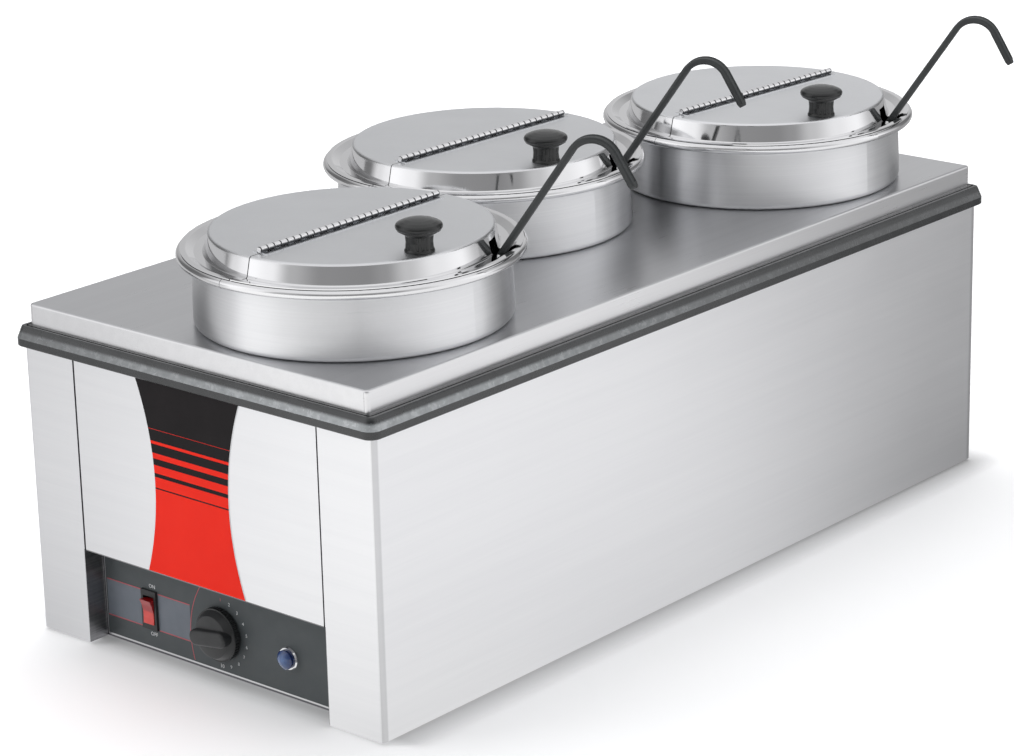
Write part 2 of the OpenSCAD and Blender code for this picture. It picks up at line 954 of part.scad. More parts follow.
module hinge_pin() {
  color([0.6, 0.6, 0.62])
    union() {
      along_y(0, hinge_z, 1.14, -hinge_length / 2 - 0.2, hinge_length / 2);
      along_y(0, hinge_z, 1.8, -hinge_length / 2 - 1, -hinge_length / 2 - 0.2);
      along_y(0, hinge_z, 1.8, hinge_length / 2, hinge_length / 2 + 0.8);
    }
}

module cover_knob() {
  color([0.06, 0.06, 0.06])
    rotate([0, 0, knob_turn])
      translate([knob_r, 0, cover_top])
        difference() {
          rotate_extrude()
            polygon(concat([[0, 0], [10.8, 0], [10.8, 1.2], [10.1, 2.4], [9.7, 7], [10.1, 11.6], [11.4, 13.4],
              [13.2, 14], [13.2, 15], [15.6, 15.4]], arc(14, 18.2, 2.8, -50, 60, 6),
              [[12.5, 22], [8.6, 23.2], [4.4, 23.8], [0, 24]]));
          for (a = [0 : 20 : 340])
            rotate([0, 0, a])
              translate([10.4, 0, 2.4])
                cylinder(r = 0.9, h = 9.4);
          translate([0, 0, -1])
            cylinder(r = 2.02, h = 13);
        }
}

module knob_screw() {
  color([0.75, 0.75, 0.77])
    rotate([0, 0, knob_turn])
      translate([knob_r, 0, cover_top])
        union() {
          translate([0, 0, -cover_sheet - 2])
            cylinder(r = 4.2, h = 2);
          translate([0, 0, -cover_sheet - 1])
            cylinder(r = 2, h = cover_sheet + 11);
        }
}

// Everything of the ladle is drawn in the plane of its handle.
module ladle_place() {
  rotate([0, 0, ladle_turn])
    children();
}

module ladle_bowl() {
  color([0.82, 0.83, 0.84])
    ladle_place() {
      translate([bowl_u, 0, bowl_z])
        rotate([0, lean, 0])
          difference() {
            sphere(r = bowl_radius);
            sphere(r = bowl_radius - 1);
            translate([-50, -50, 0])
              cube([100, 100, 60]);
          }
      difference() {
        translate([root_u, 0, root_z])
          rotate([0, lean, 0])
            span([-1, -4, -9], [1, 4, grip_start + 30]);
        translate([bowl_u, 0, bowl_z])
          sphere(r = bowl_radius - 0.5);
      }
    }
}

// The handle's section, with eased corners and, on its outer side, a groove.
module grip_section(groove, grow = 0) {
  a = handle_thick / 2 + grow;
  b = handle_width / 2 + grow;
  polygon([[-a, b - 1.8], [-a + 0.5, b - 0.6], [-a + 1.7, b], [a - 1.7, b], [a - 0.5, b - 0.6],
    [a, b - 1.8], [a, 1.8 - b], [a - 0.5, 0.6 - b], [a - 1.7, -b], [-a + 1.7, -b], [-a + 0.5, 0.6 - b],
    [-a, 1.8 - b], [-a, -b + 2.3], [-a + groove, -b + 2.9], [-a + groove, b - 2.9], [-a, b - 2.3]]);
}

// The middle of the hook, with Z along the handle.
module hook_frame() {
  translate([hook_u, 0, hook_z])
    rotate([0, lean, 0])
      children();
}

module ladle_grip() {
  color([0.16, 0.16, 0.17])
    ladle_place()
      hook_frame() {
        difference() {
          translate([-hook_radius, 0, 0])
            rotate([180, 0, 0])
              linear_extrude(shaft_length - grip_start)
                grip_section(0.8);
          translate([-hook_radius, 0, grip_start - shaft_length])
            span([-1, -4, -1], [1, 4, 30]);
        }
        rotate([90, 0, 0])
          mirror([1, 0, 0])
            rotate_extrude(angle = hook_bend)
              translate([hook_radius, 0])
                mirror([1, 0, 0])
                  grip_section(0.8);
        rotate([0, hook_bend, 0])
          translate([-hook_radius, 0, 0])
            hook_tip();
      }
}

// The end of the hook is a little thicker than the bend it grows from.
module hook_tip() {
  grow = 0.12;
  b = handle_width / 2 + grow;
  translate([0, 0, -1])
    linear_extrude(hook_end + 1)
      grip_section(0.8, grow);
  translate([0, 0, hook_end])
    linear_extrude(1.6)
      grip_section(0.1, grow);
  translate([-handle_thick / 2 + 0.5, 0, hook_end + 1.6])
    rotate([0, 90, 0])
      linear_extrude(handle_thick - 1)
        polygon([[0, -b + 0.6], [0, b - 0.6], [-1.4, b - 1.2], [-2.6, b - 2.6], [-2.9, b - 4], [-2.9, 4 - b],
          [-2.6, 2.6 - b], [-1.4, 1.2 - b]]);
}

module inset_1() at_inset(0) inset();
module inset_2() at_inset(1) inset();
module inset_3() at_inset(2) inset();
module inset_neck_1() at_inset(0) inset_neck();
module inset_neck_2() at_inset(1) inset_neck();
module inset_neck_3() at_inset(2) inset_neck();
module cover_rear_1() at_inset(0) cover_rear();
module cover_rear_2() at_inset(1) cover_rear();
module cover_rear_3() at_inset(2) cover_rear();
module hinge_rear_1() at_inset(0) hinge_rear();
module hinge_rear_2() at_inset(1) hinge_rear();
module hinge_rear_3() at_inset(2) hinge_rear();
module hinge_pin_1() at_inset(0) hinge_pin();
module hinge_pin_2() at_inset(1) hinge_pin();
module hinge_pin_3() at_inset(2) hinge_pin();
module cover_flap_1() at_inset(0) cover_flap();
module cover_flap_2() at_inset(1) cover_flap();
module cover_flap_3() at_inset(2) cover_flap();
module hinge_front_1() at_inset(0) hinge_front();
module hinge_front_2() at_inset(1) hinge_front();
module hinge_front_3() at_inset(2) hinge_front();
module cover_knob_1() at_inset(0) cover_knob();
module cover_knob_2() at_inset(1) cover_knob();
module cover_knob_3() at_inset(2) cover_knob();
module knob_screw_1() at_inset(0) knob_screw();
module knob_screw_2() at_inset(1) knob_screw();
module knob_screw_3() at_inset(2) knob_screw();
module ladle_bowl_1() at_inset(0) ladle_bowl();
module ladle_bowl_2() at_inset(1) ladle_bowl();
module ladle_bowl_3() at_inset(2) ladle_bowl();
module ladle_grip_1() at_inset(0) ladle_grip();
module ladle_grip_2() at_inset(1) ladle_grip();
module ladle_grip_3() at_inset(2) ladle_grip();

case_left();
case_right();
case_back();
front_panel();
front_badge();
control_panel();
control_overlay();
base_pan();
feet();
well_rim();
rim_corners();
well_pan();
well_corners();
well_floor();
insulation();
heating_element();
element_clamps();
thermostat();
heat_sensor();
switch_frame();
switch_rocker();
thermostat_shaft();
heat_knob();
lamp_bezel();
lamp_lens();
terminal_block();
cord_gland();
adapter_plate();
inset_1();
inset_2();
inset_3();
inset_neck_1();
inset_neck_2();
inset_neck_3();
cover_rear_1();
cover_rear_2();
cover_rear_3();
hinge_rear_1();
hinge_rear_2();
hinge_rear_3();
hinge_pin_1();
hinge_pin_2();
hinge_pin_3();
cover_flap_1();
cover_flap_2();
cover_flap_3();
hinge_front_1();
hinge_front_2();
hinge_front_3();
cover_knob_1();
cover_knob_2();
cover_knob_3();
knob_screw_1();
knob_screw_2();
knob_screw_3();
ladle_bowl_1();
ladle_bowl_2();
ladle_bowl_3();
ladle_grip_1();
ladle_grip_2();
ladle_grip_3();
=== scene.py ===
import json
import math
import bpy
from mathutils import Matrix, Vector
from mathutils.bvhtree import BVHTree


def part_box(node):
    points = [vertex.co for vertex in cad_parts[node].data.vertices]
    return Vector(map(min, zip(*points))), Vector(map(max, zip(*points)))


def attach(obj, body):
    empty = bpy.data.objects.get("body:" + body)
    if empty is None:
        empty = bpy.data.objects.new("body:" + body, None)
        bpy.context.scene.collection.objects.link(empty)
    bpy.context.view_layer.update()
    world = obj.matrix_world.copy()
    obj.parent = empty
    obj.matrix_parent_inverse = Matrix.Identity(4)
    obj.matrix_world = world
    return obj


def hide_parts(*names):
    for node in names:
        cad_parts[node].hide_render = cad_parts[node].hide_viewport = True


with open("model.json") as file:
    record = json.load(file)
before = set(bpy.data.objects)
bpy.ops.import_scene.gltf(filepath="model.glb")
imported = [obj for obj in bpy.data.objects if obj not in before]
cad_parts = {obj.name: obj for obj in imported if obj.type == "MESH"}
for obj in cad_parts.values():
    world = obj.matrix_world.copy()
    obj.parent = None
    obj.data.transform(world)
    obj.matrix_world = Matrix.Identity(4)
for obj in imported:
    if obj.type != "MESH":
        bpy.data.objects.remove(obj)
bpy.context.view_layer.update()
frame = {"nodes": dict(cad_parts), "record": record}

scene = bpy.context.scene
nodes = frame["nodes"]
SLOT = {part["node"]: part["material_slot"] for part in frame["record"]["subparts"]}
KETTLES = (1, 2, 3)

# ---------------------------------------------------------------- camera
W, H = 1014, 756
LENS, SENSOR = 118.683, 36.0
CAMERA_PLACE = Vector((1.6422763, -1.9101292, 0.9720228))
CAMERA_TURN, CAMERA_TILT, CAMERA_ROLL = (math.radians(angle) for angle in (41.1112, 18.33, -1.3942))


def set_camera():
    back = Vector((math.sin(CAMERA_TURN) * math.cos(CAMERA_TILT),
                   -math.cos(CAMERA_TURN) * math.cos(CAMERA_TILT), math.sin(CAMERA_TILT)))
    right = Vector((math.cos(CAMERA_TURN), math.sin(CAMERA_TURN), 0))
    up = back.cross(right)
    x = right * math.cos(CAMERA_ROLL) + up * math.sin(CAMERA_ROLL)
    y = -right * math.sin(CAMERA_ROLL) + up * math.cos(CAMERA_ROLL)
    data = bpy.data.cameras.new("view")
    data.lens, data.sensor_width, data.sensor_fit = LENS, SENSOR, "AUTO"
    data.clip_start, data.clip_end = 0.05, 60
    camera = bpy.data.objects.new("view", data)
    scene.collection.objects.link(camera)
    camera.matrix_world = Matrix.Translation(CAMERA_PLACE) @ Matrix((x, y, back)).transposed().to_4x4()
    scene.camera = camera
    bpy.context.view_layer.update()
    return camera


def deselect():
    bpy.ops.object.select_all(action="DESELECT")


camera = set_camera()
deselect()

# ---------------------------------------------------------------- image points, in the photograph's pixels
POINTS = {
    "object_left": (17.5, None), "object_right": (1013.6, None), "object_top": (None, 15.5),
    "object_bottom": (None, 743.3),
    "case_foot_left": (44.3, 627.6), "case_foot_rear": (971.5, 456.2), "rim_near_corner": (374.0, 442.6),
    "plate_left_corner": (31.0, 306.0), "plate_near_corner": (365.7, 392.3),
    "plate_rear_corner": (971.8, 168.0),
    "heat_knob": (214.7, 634.4), "rocker": (149.5, 609.0), "lamp": (290.4, 657.8),
    "cover_knob_1": (418.9, 235.2), "cover_knob_3": (821.3, 100.9), "ladle_1_top": (592.5, 134.1),
    "word_on": (151.9, 586.4), "word_off": (154.6, 634.2), "first_numeral": (221.7, 600.3),
    "bead_seam": (219.5, 286.5),
}

NEAREST, RAY_STEP, RAY_STEPS = 1.5, 0.01, 250


def tree_of(*names):
    """What carries a piece, as finished and placed."""
    corners, faces = [], []
    for name in names:
        piece = bpy.data.objects[name]
        first = len(corners)
        corners += [piece.matrix_world @ v.co for v in piece.data.vertices]
        faces += [[first + i for i in face.vertices] for face in piece.data.polygons]
    return BVHTree.FromPolygons(corners, faces)


def place_on(point, *carriers):
    """Where the ray through an image point meets the carriers, or the nearest place to it."""
    x, y = POINTS[point]
    long_side = max(W, H)
    turn = camera.matrix_world.to_3x3()
    aim = (turn @ Vector((x - W / 2 + camera.data.shift_x * long_side,
                          H / 2 - y + camera.data.shift_y * long_side,
                          -long_side * LENS / SENSOR))).normalized()
    eye = camera.matrix_world.translation
    tree = tree_of(*carriers)
    place = tree.ray_cast(eye, aim)[0]
    if place is None:
        near = (tree.find_nearest(eye + aim * (NEAREST + RAY_STEP * k)) for k in range(RAY_STEPS))
        place = min(near, key=lambda hit: hit[3])[0]
    return place


def on_picture(place):
    """The image point of a place in the world."""
    local = camera.matrix_world.inverted() @ Vector(place)
    scale = max(W, H) * LENS / SENSOR
    return W / 2 + scale * local.x / -local.z, H / 2 - scale * local.y / -local.z

# ---------------------------------------------------------------- node helpers


def feed(tree, socket, value):
    """Give an input what feeds it: another node's output, a number, or a colour."""
    if isinstance(value, bpy.types.NodeSocket):
        tree.links.new(value, socket)
    elif socket.type == "RGBA":
        socket.default_value = (*value, 1)
    else:
        socket.default_value = value


def add(tree, kind, inputs=None, **settings):
    """A new node with its settings, and its inputs fed by name or by number."""
    node = tree.nodes.new(kind)
    for key, value in settings.items():
        setattr(node, key, value)
    for key, value in (inputs or {}).items():
        feed(tree, node.inputs[key], value)
    return node


def arrange(tree):
    """Lay a tree's nodes out in columns, each to the left of what it feeds."""
    column = {node.name: 0 for node in tree.nodes}
    for _ in range(len(tree.nodes)):
        for link in tree.links:
            source, target = link.from_node.name, link.to_node.name
            column[source] = max(column[source], column[target] + 1)
    filled = {}
    for node in tree.nodes:
        place = column[node.name]
        filled[place] = filled.get(place, 0) + 1
        node.location = (-220 * place, -260 * filled[place])


def new_tree(owner):
    owner.use_nodes = True
    owner.node_tree.nodes.clear()
    return owner.node_tree


def new_material(name):
    material = bpy.data.materials.new(name)
    return material, new_tree(material)


def close_tree(tree, shader, kind="ShaderNodeOutputMaterial"):
    add(tree, kind, {"Surface": shader})
    arrange(tree)


def math_node(tree, operation, a, b=None, clamp=False):
    inputs = {0: a} if b is None else {0: a, 1: b}
    return add(tree, "ShaderNodeMath", inputs, operation=operation, use_clamp=clamp).outputs[0]


def map_range(tree, value, low, high, to_low, to_high, smooth=False):
    inputs = {"Value": value, "From Min": low, "From Max": high, "To Min": to_low, "To Max": to_high}
    kind = "SMOOTHSTEP" if smooth else "LINEAR"
    return add(tree, "ShaderNodeMapRange", inputs, interpolation_type=kind).outputs["Result"]


def noise(tree, vector, scale, detail, roughness, distortion=0):
    inputs = {"Vector": vector, "Scale": scale, "Detail": detail, "Roughness": roughness,
              "Distortion": distortion}
    return add(tree, "ShaderNodeTexNoise", inputs).outputs["Fac"]


def mix_color(tree, fac, a, b):
    return add(tree, "ShaderNodeMix", {0: fac, 6: a, 7: b}, data_type="RGBA").outputs[2]


def mix_value(tree, fac, a, b):
    return add(tree, "ShaderNodeMix", {0: fac, 2: a, 3: b}, data_type="FLOAT").outputs[0]


def mix_shader(tree, fac, a, b):
    return add(tree, "ShaderNodeMixShader", {0: fac, 1: a, 2: b}).outputs[0]


def split(tree, vector):
    """The X, Y and Z of a vector."""
    return add(tree, "ShaderNodeSeparateXYZ", {0: vector}).outputs


def scaled(tree, vector, by):
    """A vector or colour times a number."""
    return add(tree, "ShaderNodeVectorMath", {0: vector, "Scale": by}, operation="SCALE").outputs[0]


def weighted(tree, a, share_a, b, share_b):
    """The sum of two values, each times its share, held between 0 and 1."""
    return math_node(tree, "ADD", math_node(tree, "MULTIPLY", a, share_a),
                     math_node(tree, "MULTIPLY", b, share_b), True)


def more(tree, value, extra, share):
    """A value, and a share of something extra on top of it."""
    return math_node(tree, "ADD", value, math_node(tree, "MULTIPLY", extra, share))


def distance(tree, a, b):
    """How far a point lies from zero, by its two coordinates."""
    squares = [math_node(tree, "MULTIPLY", side, side) for side in (a, b)]
    return math_node(tree, "SQRT", math_node(tree, "ADD", *squares))


def object_coordinates(tree, centre=(0, 0, 0)):
    """Object coordinates with a piece's own centre as their zero."""
    coords = add(tree, "ShaderNodeTexCoord").outputs["Object"]
    location = tuple(-c for c in centre)
    return add(tree, "ShaderNodeMapping", {"Vector": coords, "Location": location}).outputs["Vector"]


def place_group(tree, group, vector, **values):
    """A shared effect with its own values; what it puts out is found by name."""
    inputs = {"Vector": vector}
    inputs.update((key.replace("_", " "), value) for key, value in values.items())
    return add(tree, "ShaderNodeGroup", inputs, node_tree=group).outputs


# ---------------------------------------------------------------- shared effects


def start_group(name, **inputs):
    """A new effect that takes a vector and named numbers: its tree, and what comes in."""
    tree = bpy.data.node_groups.new(name, "ShaderNodeTree")
    tree.interface.new_socket(name="Vector", in_out="INPUT", socket_type="NodeSocketVector")
    for key, value in inputs.items():
        socket = tree.interface.new_socket(name=key.replace("_", " "), in_out="INPUT",
                                           socket_type="NodeSocketFloat")
        socket.default_value = value
    return tree, add(tree, "NodeGroupInput").outputs


def end_group(tree, **outputs):
    """Let the effect put out the named values."""
    for key in outputs:
        tree.interface.new_socket(name=key, in_out="OUTPUT", socket_type="NodeSocketFloat")
    add(tree, "NodeGroupOutput", outputs)
    arrange(tree)
    return tree


def make_brushed_grain():
    """Long fine scratches. The scales are noise scales per metre on X, Y and Z."""
    tree, source = start_group("brushed grain", Scale_X=4, Scale_Y=4, Scale_Z=500)
    scales = {i: source["Scale " + axis] for i, axis in enumerate("XYZ")}
    scale = add(tree, "ShaderNodeCombineXYZ", scales).outputs[0]
    stretched = add(tree, "ShaderNodeVectorMath", {0: source["Vector"], 1: scale},
                    operation="MULTIPLY").outputs[0]
    fine = noise(tree, stretched, 1.0, 4, 0.65)
    wide = noise(tree, stretched, 0.17, 2, 0.5)
    return end_group(tree, Grain=map_range(tree, fine, 0.3, 0.7, 0, 1),
                     Streaks=map_range(tree, wide, 0.35, 0.65, 0, 1))


def make_turned_grain():
    """Rings left by spinning round the Z axis of the vector: by radius on flats, by height on walls."""
    tree, source = start_group("turned grain", Scale=700, Wander=3)
    x, y, z = split(tree, source["Vector"])
    radius = distance(tree, x, y)
    around = noise(tree, source["Vector"], 9, 1, 0.5)
    pairs = ((radius, source["Scale"]), (z, source["Scale"]), (around, source["Wander"]))
    rings = add(tree, "ShaderNodeCombineXYZ",
                {i: math_node(tree, "MULTIPLY", a, b) for i, (a, b) in enumerate(pairs)}).outputs[0]
    fine = noise(tree, rings, 1.0, 4, 0.7)
    wide = noise(tree, rings, 0.12, 2, 0.5)
    return end_group(tree, Rings=map_range(tree, fine, 0.3, 0.7, 0, 1),
                     Bands=map_range(tree, wide, 0.35, 0.65, 0, 1), Radius=radius)


def make_handling_marks():
    """Soft cloudy patches left by cloths and hands, and a few faint wipes."""
    tree, source = start_group("handling marks", Size=6)
    sized = scaled(tree, source["Vector"], source["Size"])
    clouds = noise(tree, sized, 1.0, 5, 0.55)
    wipes = noise(tree, sized, 1.7, 2, 0.5, 2.5)
    return end_group(tree, Clouds=map_range(tree, clouds, 0.35, 0.7, 0, 1),
                     Wipes=map_range(tree, wipes, 0.58, 0.72, 0, 1))


def make_moulded_skin():
    """The fine grain of a moulded part, and the slow waves of its tool."""
    tree, source = start_group("moulded skin", Size=1800)
    sized = scaled(tree, source["Vector"], source["Size"])
    skin = noise(tree, sized, 1.0, 3, 0.6)
    waves = noise(tree, sized, 0.03, 3, 0.5)
    return end_group(tree, Skin=skin, Waves=map_range(tree, waves, 0.3, 0.7, 0, 1))


BRUSHED = make_brushed_grain()
TURNED = make_turned_grain()
MARKS = make_handling_marks()
MOULDED = make_moulded_skin()

# ---------------------------------------------------------------- materials

# places that the finishes follow, from the frame
rim_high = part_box("well_rim")[1].z
plate_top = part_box("adapter_plate")[1].z
panel_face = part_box("control_panel")[0].y
case_depth, case_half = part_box("case_right")[1].y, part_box("case_right")[1].x

# sizes in metres, and the count of knuckles
KNUCKLES, KNUCKLE_GAP, HINGE_LEAF = 28, 0.0002, 0.0009
COVER_FLAT = 0.1035             # radius of a cover's flat top
POLISHED_MOUTH, NO_POLISH = 0.0085, 9.0
PLATE_BEND, HEM, PANEL_EDGE = 0.0006, 0.0007, 0.0035
RECESS_HALF, RECESS_TOP = 0.12395, 0.0768
LENS_RIM = 0.0075
# shares, counts and colours
COVER_SATIN = ((0.735, 0.745, 0.76), (0.81, 0.82, 0.835))
# how much lighter each cover's flat top is painted, as painted light on three covers of one steel
COVER_PAINTED_LIGHT = (1.0, 1.02, 1.10)
BEND_SHADE, SHADED_STEEL = 0.34, (0.30, 0.30, 0.31)
BADGE_STRIPES = 13
LANE_SLOPE = 0.873              # metres across for each metre along Y


def finish_surface(tree, color, roughness, height, depth, strength, **plain):
    """Close a material: its colour, its roughness, its fine relief, and the values that stay the same."""
    bump = add(tree, "ShaderNodeBump", {"Strength": strength, "Distance": depth, "Height": height})
    inputs = {"Base Color": color, "Roughness": roughness, "Normal": bump.outputs[0]}
    inputs.update((name.replace("_", " "), value) for name, value in plain.items())
    close_tree(tree, add(tree, "ShaderNodeBsdfPrincipled", inputs).outputs[0])


def brushed_sheet(name, scale, dark, light, rough_low, rough_high, painted_tone_area=None, painted_shade_area=None):
    """Brushed sheet with straight grain. The first optional argument is a second tone of the same steel,
    painted light in some uses and painted shade in others: where it lies, and its two colours. The second
    optional argument is where the sheet is painted dark as shade.
    """
    material, tree = new_material(name)
    vector = object_coordinates(tree)
    grain = place_group(tree, BRUSHED, vector, Scale_X=scale[0], Scale_Y=scale[1], Scale_Z=scale[2])
    marks = place_group(tree, MARKS, vector, Size=7)
    mask = weighted(tree, grain["Grain"], 0.55, grain["Streaks"], 0.45)
    color = mix_color(tree, mask, dark, light)
    # the second tone: painted light on the plate's skirt, painted shade in the case's recess and on the
    # panel's lower edge
    if painted_tone_area:
        place, low, high = painted_tone_area
        color = mix_color(tree, place(tree, vector), color, mix_color(tree, mask, low, high))
    # painted shade: these places are painted a shaded steel grey
    if painted_shade_area:
        color = mix_color(tree, painted_shade_area(tree, vector), color, SHADED_STEEL)
    rough = map_range(tree, grain["Grain"], 0, 1, rough_low, rough_high)
    smeared = more(tree, rough, marks["Clouds"], 0.05)
    finish_surface(tree, color, smeared, grain["Grain"], 0.00001, 0.25, Metallic=1.0)
    return material


def spun_steel(name, centre, polish_above, satin):
    """Turned stainless of an inset: satin walls, and a polished mouth above the given height."""
    material, tree = new_material(name)
    vector = object_coordinates(tree, (centre[0], centre[1], 0))
    turned = place_group(tree, TURNED, vector, Scale=900, Wander=2)
    marks = place_group(tree, MARKS, vector, Size=9)
    z = split(tree, vector)["Z"]
    mouth = map_range(tree, z, polish_above - 0.002, polish_above + 0.001, 0, 1, True)
    mask = weighted(tree, turned["Rings"], 0.75, turned["Bands"], 0.15)
    satin_color = mix_color(tree, mask, (0.78, 0.785, 0.80), (0.87, 0.875, 0.885))
    color = mix_color(tree, mouth, satin_color, (0.82, 0.82, 0.83))
    rough = map_range(tree, turned["Rings"], 0, 1, satin - 0.04, satin + 0.05)
    cloudy = more(tree, rough, marks["Clouds"], 0.05)
    shiny = more(tree, 0.1, marks["Wipes"], 0.03)
    finish_surface(tree, color, mix_value(tree, mouth, cloudy, shiny), turned["Rings"], 0.000006, 0.2,
                   Metallic=1.0, Anisotropic=0.85, Anisotropic_Rotation=0.25)
    return material


def cover_steel(name, centre, light):
    """A cover: its flat top is satin and painted lighter by the given share as painted light, and its wall
    and flange are polished.
    """
    material, tree = new_material(name)
    vector = object_coordinates(tree, (centre[0], centre[1], 0))
    turned = place_group(tree, TURNED, vector, Scale=1100, Wander=30)
    marks = place_group(tree, MARKS, vector, Size=14)
    flat = map_range(tree, turned["Radius"], COVER_FLAT - 0.0015, COVER_FLAT + 0.0005, 1, 0, True)
    mask = weighted(tree, turned["Rings"], 0.4, marks["Clouds"], 0.5)
    # painted light: the satin top is lightened by the given share
    satin_color = mix_color(tree, mask, *(tuple(c * light for c in satin) for satin in COVER_SATIN))
    color = mix_color(tree, flat, (0.82, 0.82, 0.83), satin_color)
    rough = map_range(tree, turned["Rings"], 0, 1, 0.40, 0.47)
    shiny = more(tree, 0.07, marks["Wipes"], 0.04)
    finish_surface(tree, color, mix_value(tree, flat, shiny, rough), turned["Rings"], 0.000005, 0.15,
                   Metallic=1.0)
    return material


def small_metal(name, dark, light, rough_low, rough_high, size):
    """Pins, seams, screws, rings and tubes: fine cloudy polish."""
    material, tree = new_material(name)
    vector = object_coordinates(tree)
    marks = place_group(tree, MARKS, vector, Size=size)
    color = mix_color(tree, marks["Clouds"], dark, light)
    rough = map_range(tree, marks["Clouds"], 0, 1, rough_low, rough_high)
    finish_surface(tree, color, rough, marks["Clouds"], 0.00001, 0.15, Metallic=1.0)
    return material


def hinge_steel(name, box):
    """A hinge: knuckles bright on top and painted dark below as shade, a painted shadow in the gap after
    each, and satin leaves.
    """
    low, high = box
    pitch = (high.y - low.y + KNUCKLE_GAP) / KNUCKLES
    material, tree = new_material(name)
    vector = object_coordinates(tree, (0, low.y, low.z))
    _, y, z = split(tree, vector)
    step = math_node(tree, "FRACT", math_node(tree, "DIVIDE", y, pitch))
    painted_gap_shadow = math_node(tree, "MAXIMUM", map_range(tree, step, 0.80, 0.93, 0, 1, True),
                    map_range(tree, step, 0.0, 0.10, 1, 0, True))
    upward = split(tree, add(tree, "ShaderNodeNewGeometry").outputs["Normal"])["Z"]
    under = map_range(tree, upward, -0.10, 0.34, 1, 0, True)
    leaf = math_node(tree, "LESS_THAN", z, HINGE_LEAF)
    marks = place_group(tree, MARKS, vector, Size=90)
    bright = mix_color(tree, marks["Clouds"], (0.88, 0.88, 0.89), (0.95, 0.95, 0.96))
    # painted shade: the undersides of the knuckles and the gaps between them are painted nearly black
    shade = math_node(tree, "MAXIMUM", painted_gap_shadow, under)
    knuckle = mix_color(tree, shade, bright, (0.085, 0.088, 0.095))
    color = mix_color(tree, leaf, knuckle, (0.71, 0.72, 0.735))
    rough = map_range(tree, marks["Clouds"], 0, 1, 0.22, 0.32)
    finish_surface(tree, color, rough, marks["Clouds"], 0.00001, 0.15, Metallic=1.0)
    return material


def moulded(name, dark, light, rough_low, rough_high, size, depth, strength, **plain):
    """Moulded plastic, resin or rubber."""
    material, tree = new_material(name)
    vector = object_coordinates(tree)
    skin = place_group(tree, MOULDED, vector, Size=size)
    mask = weighted(tree, skin["Waves"], 0.65, skin["Skin"], 0.35)
    color = mix_color(tree, mask, dark, light)
    rough = map_range(tree, skin["Skin"], 0.3, 0.7, rough_low, rough_high)
    finish_surface(tree, color, rough, skin["Skin"], depth, strength, **plain)
    return material


def film(name, dark, light, rough_low=0.42):
    """Printed or plain plastic film."""
    return moulded(name, dark, light, rough_low, rough_low + 0.08, 2600, 0.00001, 0.2,
                   Specular_IOR_Level=0.35)


def lane_of(tree, x, y):
    """Which of the lanes a place is in: they run from the front left to the rear right."""
    return math_node(tree, "SUBTRACT", x, math_node(tree, "MULTIPLY", y, LANE_SLOPE))


def rim_bloom(name):
    """Black resin: dark on its faces, with a mottled grey painted reflection of the floor on the lower part
    of the slope.
    """
    material, tree = new_material(name)
    vector = object_coordinates(tree)
    skin = place_group(tree, MOULDED, vector, Size=700)
    marks = place_group(tree, MARKS, vector, Size=120)
    upward = split(tree, add(tree, "ShaderNodeNewGeometry").outputs["True Normal"])["Z"]
    above = map_range(tree, upward, 0.15, 0.30, 0, 1, True)
    under = map_range(tree, upward, 0.60, 0.85, 1, 0, True)
    x, y, z = split(tree, vector)
    # the painted reflection lies on the lower part of the slope, and grows across the floor's lanes towards
    # the front right
    reach = map_range(tree, z, rim_high - 0.0058, rim_high - 0.0030, 1, 0, True)
    slope = math_node(tree, "MULTIPLY", math_node(tree, "MULTIPLY", above, under), reach)
    reflection_by_lane = map_range(tree, lane_of(tree, x, y), 0.02, 0.55, 0.09, 0.50, True)
    mottle = weighted(tree, marks["Clouds"], 0.65, marks["Wipes"], 0.35)
    dark = mix_color(tree, skin["Waves"], (0.010, 0.012, 0.013), (0.022, 0.024, 0.026))
    # painted reflection: a mottled grey that stands in for the floor mirrored in the slope
    painted_reflection = scaled(tree, mix_color(tree, mottle, (0.66, 0.70, 0.72), (1.22, 1.26, 1.30)), reflection_by_lane)
    color = mix_color(tree, slope, dark, painted_reflection)
    rough = map_range(tree, mottle, 0, 1, 0.20, 0.38)
    finish_surface(tree, color, rough, skin["Skin"], 0.00006, 0.35, Specular_IOR_Level=0.6, IOR=1.6)
    return material


def badge_film(name, box):
    """Plain printed film: graded stripes, black above and red below, as flat bars that thin out upwards."""
    low, high = box
    material, tree = new_material(name)
    vector = object_coordinates(tree, (low + high) / 2)
    half = (high.z - low.z) / 2
    height = map_range(tree, split(tree, vector)["Z"], -half, half, 0, 1)
    # the share of red in each stripe falls towards the top
    wave = math_node(tree, "FRACT", math_node(tree, "MULTIPLY", height, BADGE_STRIPES))
    share = map_range(tree, height, 0.42, 0.78, 1.0, 0.0)
    red = math_node(tree, "LESS_THAN", wave, share)
    marks = place_group(tree, MARKS, vector, Size=30)
    ink = mix_color(tree, marks["Clouds"], (0.97, 0.022, 0.008), (1.00, 0.026, 0.010))
    night = mix_color(tree, marks["Clouds"], (0.010, 0.008, 0.009), (0.014, 0.011, 0.012))
    print_color = mix_color(tree, red, night, ink)
    rough = map_range(tree, marks["Wipes"], 0, 1, 0.40, 0.48)
    finish_surface(tree, print_color, rough, marks["Clouds"], 0.000005, 0.1, Specular_IOR_Level=0.12)
    return material


